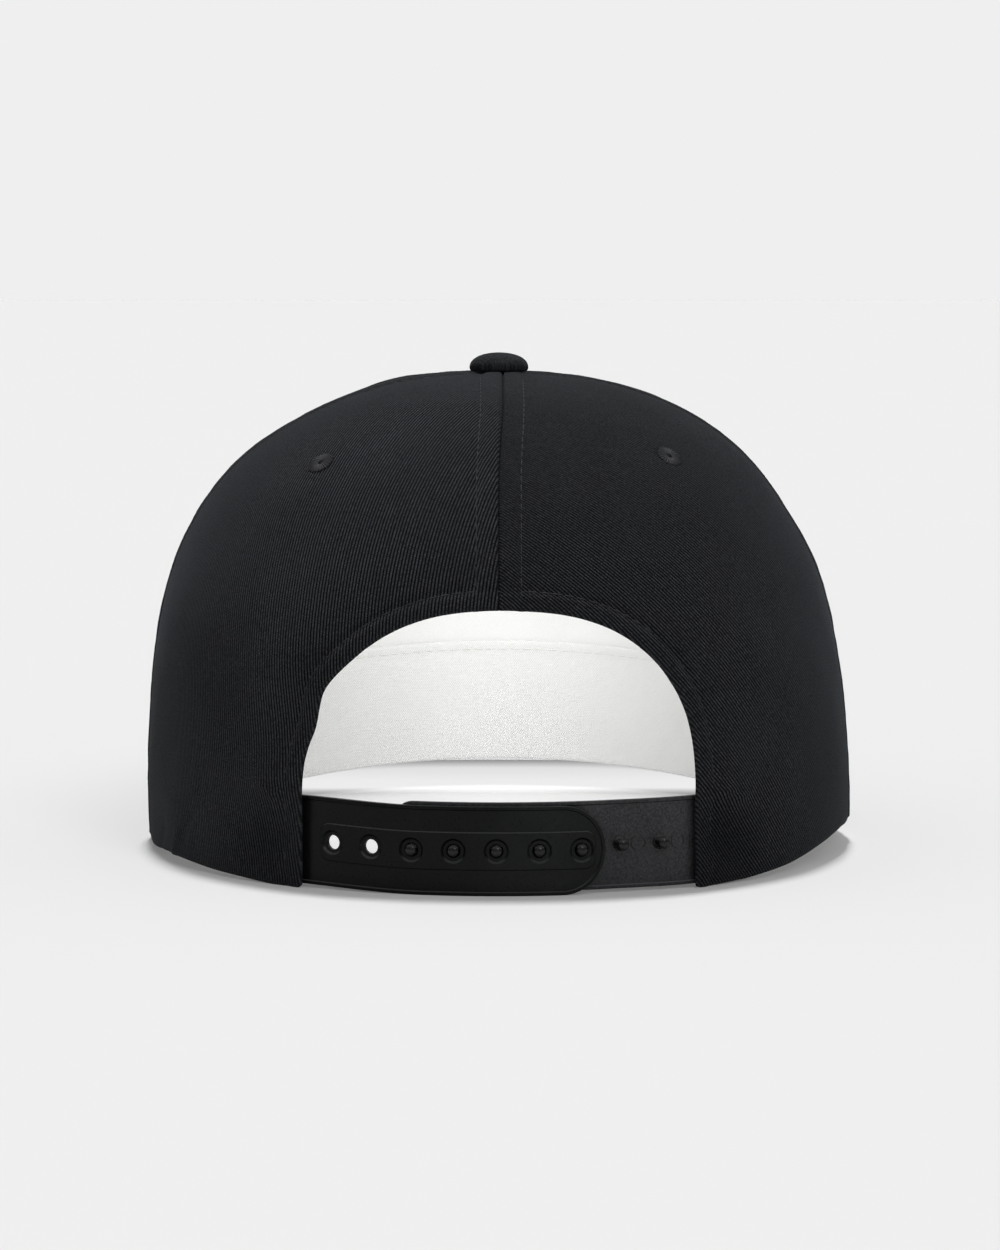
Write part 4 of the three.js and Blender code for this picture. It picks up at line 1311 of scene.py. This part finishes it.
# A flat plate from low to high along x, its corners at the given ends rounded, and its front face
# selected in edit mode.
def flatPlate(low, high, tall, thickness, roundEnds, corner, segments):
    deselectAll()
    bpy.ops.mesh.primitive_plane_add(size=1, location=((low + high) / 2, strap["height"] / 2, 0))
    plate = bpy.context.object
    plate.scale = (high - low, tall, 1)
    applyTransforms()
    editMode("DESELECT")
    objectMode()
    for vertex in plate.data.vertices:
        vertex.select = any(abs(vertex.co.x - end) < 0.01 for end in roundEnds)
    bpy.ops.object.mode_set(mode="EDIT")
    bpy.ops.mesh.select_mode(type="VERT")
    bpy.ops.mesh.bevel(offset=corner, segments=segments, affect="VERTICES", profile=0.5)
    bpy.ops.mesh.select_all(action="SELECT")
    bpy.ops.mesh.remove_doubles(threshold=0.001)
    objectMode()
    applyModifier(plate, "SOLIDIFY", thickness=thickness, offset=-1)
    selectFaces(plate, lambda face: face.normal.z > 0.9)
    return plate


def beadedPlate(name, low, high, roundEnd, corner):
    thickness = strap["plate"] + strap["beadRise"]
    plate = flatPlate(low, high, strap["height"], thickness, (roundEnd,), corner, 24)
    plate.name = name
    edgeRound = strap["edgeRound"]
    bpy.ops.transform.translate(value=(0, 0, -edgeRound))
    for inwards, upwards in ((0.13, 0.5), (0.37, 0.37), (0.5, 0.13)):
        bpy.ops.mesh.inset(thickness=inwards * edgeRound, depth=upwards * edgeRound)
    bpy.ops.mesh.inset(thickness=strap["beadWidth"] - edgeRound - strap["beadSlope"], depth=0)
    bpy.ops.mesh.inset(thickness=strap["beadSlope"], depth=-strap["beadRise"])
    objectMode()
    return plate


def selectFaces(piece, wanted):
    pick(piece)
    for part in (piece.data.vertices, piece.data.edges):
        part.foreach_set("select", [False] * len(part))
    for face in piece.data.polygons:
        face.select = bool(wanted(face))
    bpy.ops.object.mode_set(mode="EDIT")
    bpy.ops.mesh.select_mode(type="FACE")


def turnedPart(profile, segments, middle):
    part = turnProfile(profile, segments, middle, "NGON")
    bpy.ops.mesh.select_all(action="SELECT")
    bpy.ops.mesh.normals_make_consistent(inside=False)
    objectMode()
    return part


def combine(piece, tools, operation):
    tool = joinPieces(tools, "tool")
    applyModifier(piece, "BOOLEAN", object=tool, operation=operation, solver="EXACT")
    bpy.data.objects.remove(tool)


# Cuts the flat piece across at even steps so that it bends smoothly, then lays it round the cap.
def layRound(piece, faceDepth, foot):
    pick(piece)
    xs = [vertex.co.x for vertex in piece.data.vertices]
    bpy.ops.object.mode_set(mode="EDIT")
    for x in np.arange(min(xs) + 1.3, max(xs) - 0.5, strap["bendEvery"]):
        bpy.ops.mesh.select_all(action="SELECT")
        bpy.ops.mesh.bisect(plane_co=(x, 0, 0), plane_no=(1, 0, 0))
    objectMode()
    run, tall, out = readTriples(piece.data.vertices, "co").T
    azimuth = azimuthAtRun(run)
    moveVertices(piece, behindCloth(azimuth, foot(azimuth) + tall, faceDepth(azimuth) - out))
    faceOutwards(piece)
    piece.data.update()
    # upper is 1 on faces turned up and -1 on faces turned down, for the plastics' painted highlight and
    # painted shade.
    up = readTriples(piece.data.polygons, "normal")[:, 2]
    upper = piece.data.attributes.new("upper", "FLOAT", "FACE")
    upper.data.foreach_set("value", smoothStep(up, 0.3, 0.7) - smoothStep(-up, 0.3, 0.7))
    pick(piece)
    bpy.ops.object.shade_smooth_by_angle(angle=math.radians(strap["smoothBelow"]))


def holeStrapPiece():
    middle = strap["height"] / 2
    plate = beadedPlate("holeStrap", holeTipRun, openingRun + strap["tuck"], holeTipRun, middle - 0.02)
    low, high = holeRuns[-1] - strap["trackReach"], holeRuns[0] + strap["trackReach"]
    track = flatPlate(low, high, strap["trackHeight"], strap["trackDeep"], (low, high),
                      strap["trackCorner"], 10)
    bpy.ops.mesh.inset(thickness=strap["trackSlope"], depth=0)
    bpy.ops.transform.translate(value=(0, 0, strap["trackStep"]))
    objectMode()
    face = -strap["beadRise"] + strap["trackRise"]
    for vertex in track.data.vertices:
        vertex.co.z += face - strap["trackStep"]
    combine(plate, [track], "UNION")
    sink = face - strap["sinkDeep"]
    profile = [(strap["holeRadius"], -3), (strap["holeRadius"], sink), (strap["sinkFloor"], sink + 0.001),
               (strap["sinkRadius"], face + 0.02), (strap["sinkRadius"] + 0.1, face + 1)]
    cutters = [turnedPart(profile, 40, (run, middle, 0)) for run in holeRuns]
    combine(plate, cutters, "DIFFERENCE")
    layRound(plate, lambda azimuth: sweatband["clear"] + 0 * azimuth, strapFoot)
    dress(plate, holePlastic)
    finishPiece(plate, "strap_plastic", "hole_strap")


# The profile of a peg: radius and height as shares of the peg's own, from its foot to its domed tip.
peg = {"reach": 3, "lift": 0.8, "corner": 4, "tipReach": 4.5, "markOffset": 4.8, "markRadius": 1.7,
       "markWide": 0.11, "foot": [(0.35, -0.4), (0.3, 0.02), (0, 0.3)],
       "dome": [(1, 0.66), (0.95, 0.79), (0.82, 0.89), (0.58, 0.96), (0.25, 1)]}


def pegStrapPiece():
    high = pegRuns[0] + peg["tipReach"]
    plate = beadedPlate("pegStrap", -openingRun - strap["tuck"], high, high, peg["corner"])
    dress(plate, pegPlastic)
    radius = strap["holeRadius"] - strap["clearance"]
    profile = [(radius + wider, height) for wider, height in peg["foot"]]
    profile += [(radius * share, peg["reach"] * height) for share, height in peg["dome"]]
    parts = [plate]
    face = -strap["beadRise"]
    for run in pegRuns:
        azimuth = float(azimuthAtRun(run))
        engaged = azimuth > holeTipAzimuth
        height = strap["height"] / 2
        if engaged:
            height += float(strapFoot(azimuth)) - peg["lift"]
        post = turnedPart(profile, 32, (run, height, face))
        # The pegs take the darker copy of the strap's plastic, as painted shade.
        dress(post, pegShadedPlastic)
        parts.append(post)
        if not engaged:
            bpy.ops.mesh.primitive_torus_add(
                major_segments=36, minor_segments=8, major_radius=peg["markRadius"],
                minor_radius=peg["markWide"], location=(run - peg["markOffset"], height, face))
            mark = bpy.context.object
            applyTransforms()
            dress(mark, pegPlastic)
            parts.append(mark)
    whole = joinPieces(parts, "pegStrap")
    layRound(whole, pegStrapFace, lambda azimuth: peg["lift"] + 0 * azimuth)
    finishPiece(whole, "peg_plastic", "peg_strap")


holeStrapPiece()
pegStrapPiece()

# Stage: a plain pale floor that glows a little like a light table, soft light from straight above, a
# broad fill from the camera's side, a key from the upper right, and a lamp inside the crown.

# underGlow: the floor glows more under the cap, in a rounded square from wide to wide and from front to
# back of its middle. It is weaker towards the visor's tip and where the lamp inside the crown lights it.
studio = {
    "backdrop": 0.863, "floor": 0.55, "floorGlow": 0.1,
    "underGlow": {"underVisor": 0.73, "underCrown": 0.57, "join": (-100, -88), "middle": -50, "wide": 78,
                  "front": 118, "back": 90, "square": 3.4, "fadeFrom": 0.5,
                  "visorTip": (-160, -116, 0.8), "lampLit": (-70, -20, 0.42)},
    "behind": 0.22, "front": 0.36, "above": 0.45,
    "overhead": {"energy": 2.9, "towards": (0.0, -0.26, 1.0), "softness": 9},
    "key": {"energy": 0.5, "towards": (-0.38, 0.75, 0.75), "softness": 20},
    "inside": {"energy": 0.033, "place": (0, 0, 92), "target": (0, -88, 26), "size": 30, "spread": 100},
}


# A value that goes from one to the other between two places along the cap, in millimetres.
def alongRow(w, place, low, high, atLow, atHigh):
    return w.spread(place, (low + rowShift) * milli, (high + rowShift) * milli, atLow, atHigh)


def addStage():
    deselectAll()
    bpy.ops.mesh.primitive_grid_add(size=60, x_subdivisions=8, y_subdivisions=8)
    floor = bpy.context.object
    floor.name = "studioFloor"
    material, w, shader = newMaterial("paleFloor")
    place = w.node("TexCoord").outputs["Object"]
    mottle = w.spread(w.noise(place, 3.0), 0.0, 1.0, 0.995, 1.005)
    paint = w.math("MULTIPLY", mottle, studio["floor"])
    glow = studio["underGlow"]
    parts = w.node("SeparateXYZ", {0: place})
    row = parts.outputs[1]
    across = w.math("DIVIDE", w.math("ABSOLUTE", parts.outputs[0]), glow["wide"] * milli)
    along = w.math("SUBTRACT", row, (glow["middle"] + rowShift) * milli)
    along = w.math("MAXIMUM", w.math("DIVIDE", along, -glow["front"] * milli),
                   w.math("DIVIDE", along, glow["back"] * milli))
    far = w.math("ADD", w.math("POWER", across, glow["square"]), w.math("POWER", along, glow["square"]))
    soft = w.spread(far, 1.0, glow["fadeFrom"])
    level = alongRow(w, row, *glow["join"], glow["underVisor"], glow["underCrown"])
    tip = alongRow(w, row, *glow["visorTip"], 1.0)
    unlit = alongRow(w, row, *glow["lampLit"], 1.0)
    unlit = alongRow(w, row, *glow["join"], 1.0, unlit)
    level = w.math("MULTIPLY", level, w.math("MULTIPLY", tip, unlit))
    strength = w.math("ADD", w.math("MULTIPLY", soft, level), studio["floorGlow"])
    w.fill(shader, {"Base Color": w.grey(paint), "Roughness": 1.0, "Specular IOR Level": 0.0,
                    "Emission Color": (1, 1, 1, 1), "Emission Strength": strength})
    floor.data.materials.append(material)


def addWorld():
    world = bpy.data.worlds.new("studioWorld")
    scene.world = world
    world.use_nodes = True
    world.node_tree.nodes.clear()
    w = Wiring(world.node_tree)
    direction = w.node("TexCoord").outputs["Generated"]
    parts = w.node("SeparateXYZ", {0: direction})
    around = w.spread(parts.outputs[1], -0.5, 0.9, studio["behind"], studio["front"])
    up = w.spread(parts.outputs[2], 0.2, 0.9)
    level = w.math("ADD", w.math("MULTIPLY", around, w.math("SUBTRACT", 1.0, up)),
                   w.math("MULTIPLY", up, studio["above"]))
    soft = w.node("Background", {"Color": w.grey(level)})
    flat = w.node("Background", {"Color": (studio["backdrop"],) * 3 + (1,)})
    seen = w.node("LightPath").outputs["Is Camera Ray"]
    mixed = w.node("MixShader", {0: seen, 1: soft.outputs[0], 2: flat.outputs[0]})
    out = w.node("OutputWorld")
    w.join(mixed.outputs[0], out.inputs[0])


def addSun(settings):
    bpy.ops.object.light_add(type="SUN", location=(0, 0, 1.5))
    sun = bpy.context.object
    sun.data.energy = settings["energy"]
    sun.data.angle = math.radians(settings["softness"])
    sun.rotation_euler = Vector(settings["towards"]).to_track_quat("Z", "Y").to_euler()


def addInsideLamp(settings):
    place, target = Vector(toMetres(settings["place"])), Vector(toMetres(settings["target"]))
    bpy.ops.object.light_add(type="AREA", location=place)
    lamp = bpy.context.object
    lamp.data.size = settings["size"] * milli
    lamp.data.spread = math.radians(settings["spread"])
    lamp.data.energy = settings["energy"]
    lamp.rotation_euler = (place - target).to_track_quat("Z", "Y").to_euler()
    lamp.visible_camera = False


addStage()
addWorld()
addSun(studio["overhead"])
addSun(studio["key"])
addInsideLamp(studio["inside"])
report("stage and light ready")
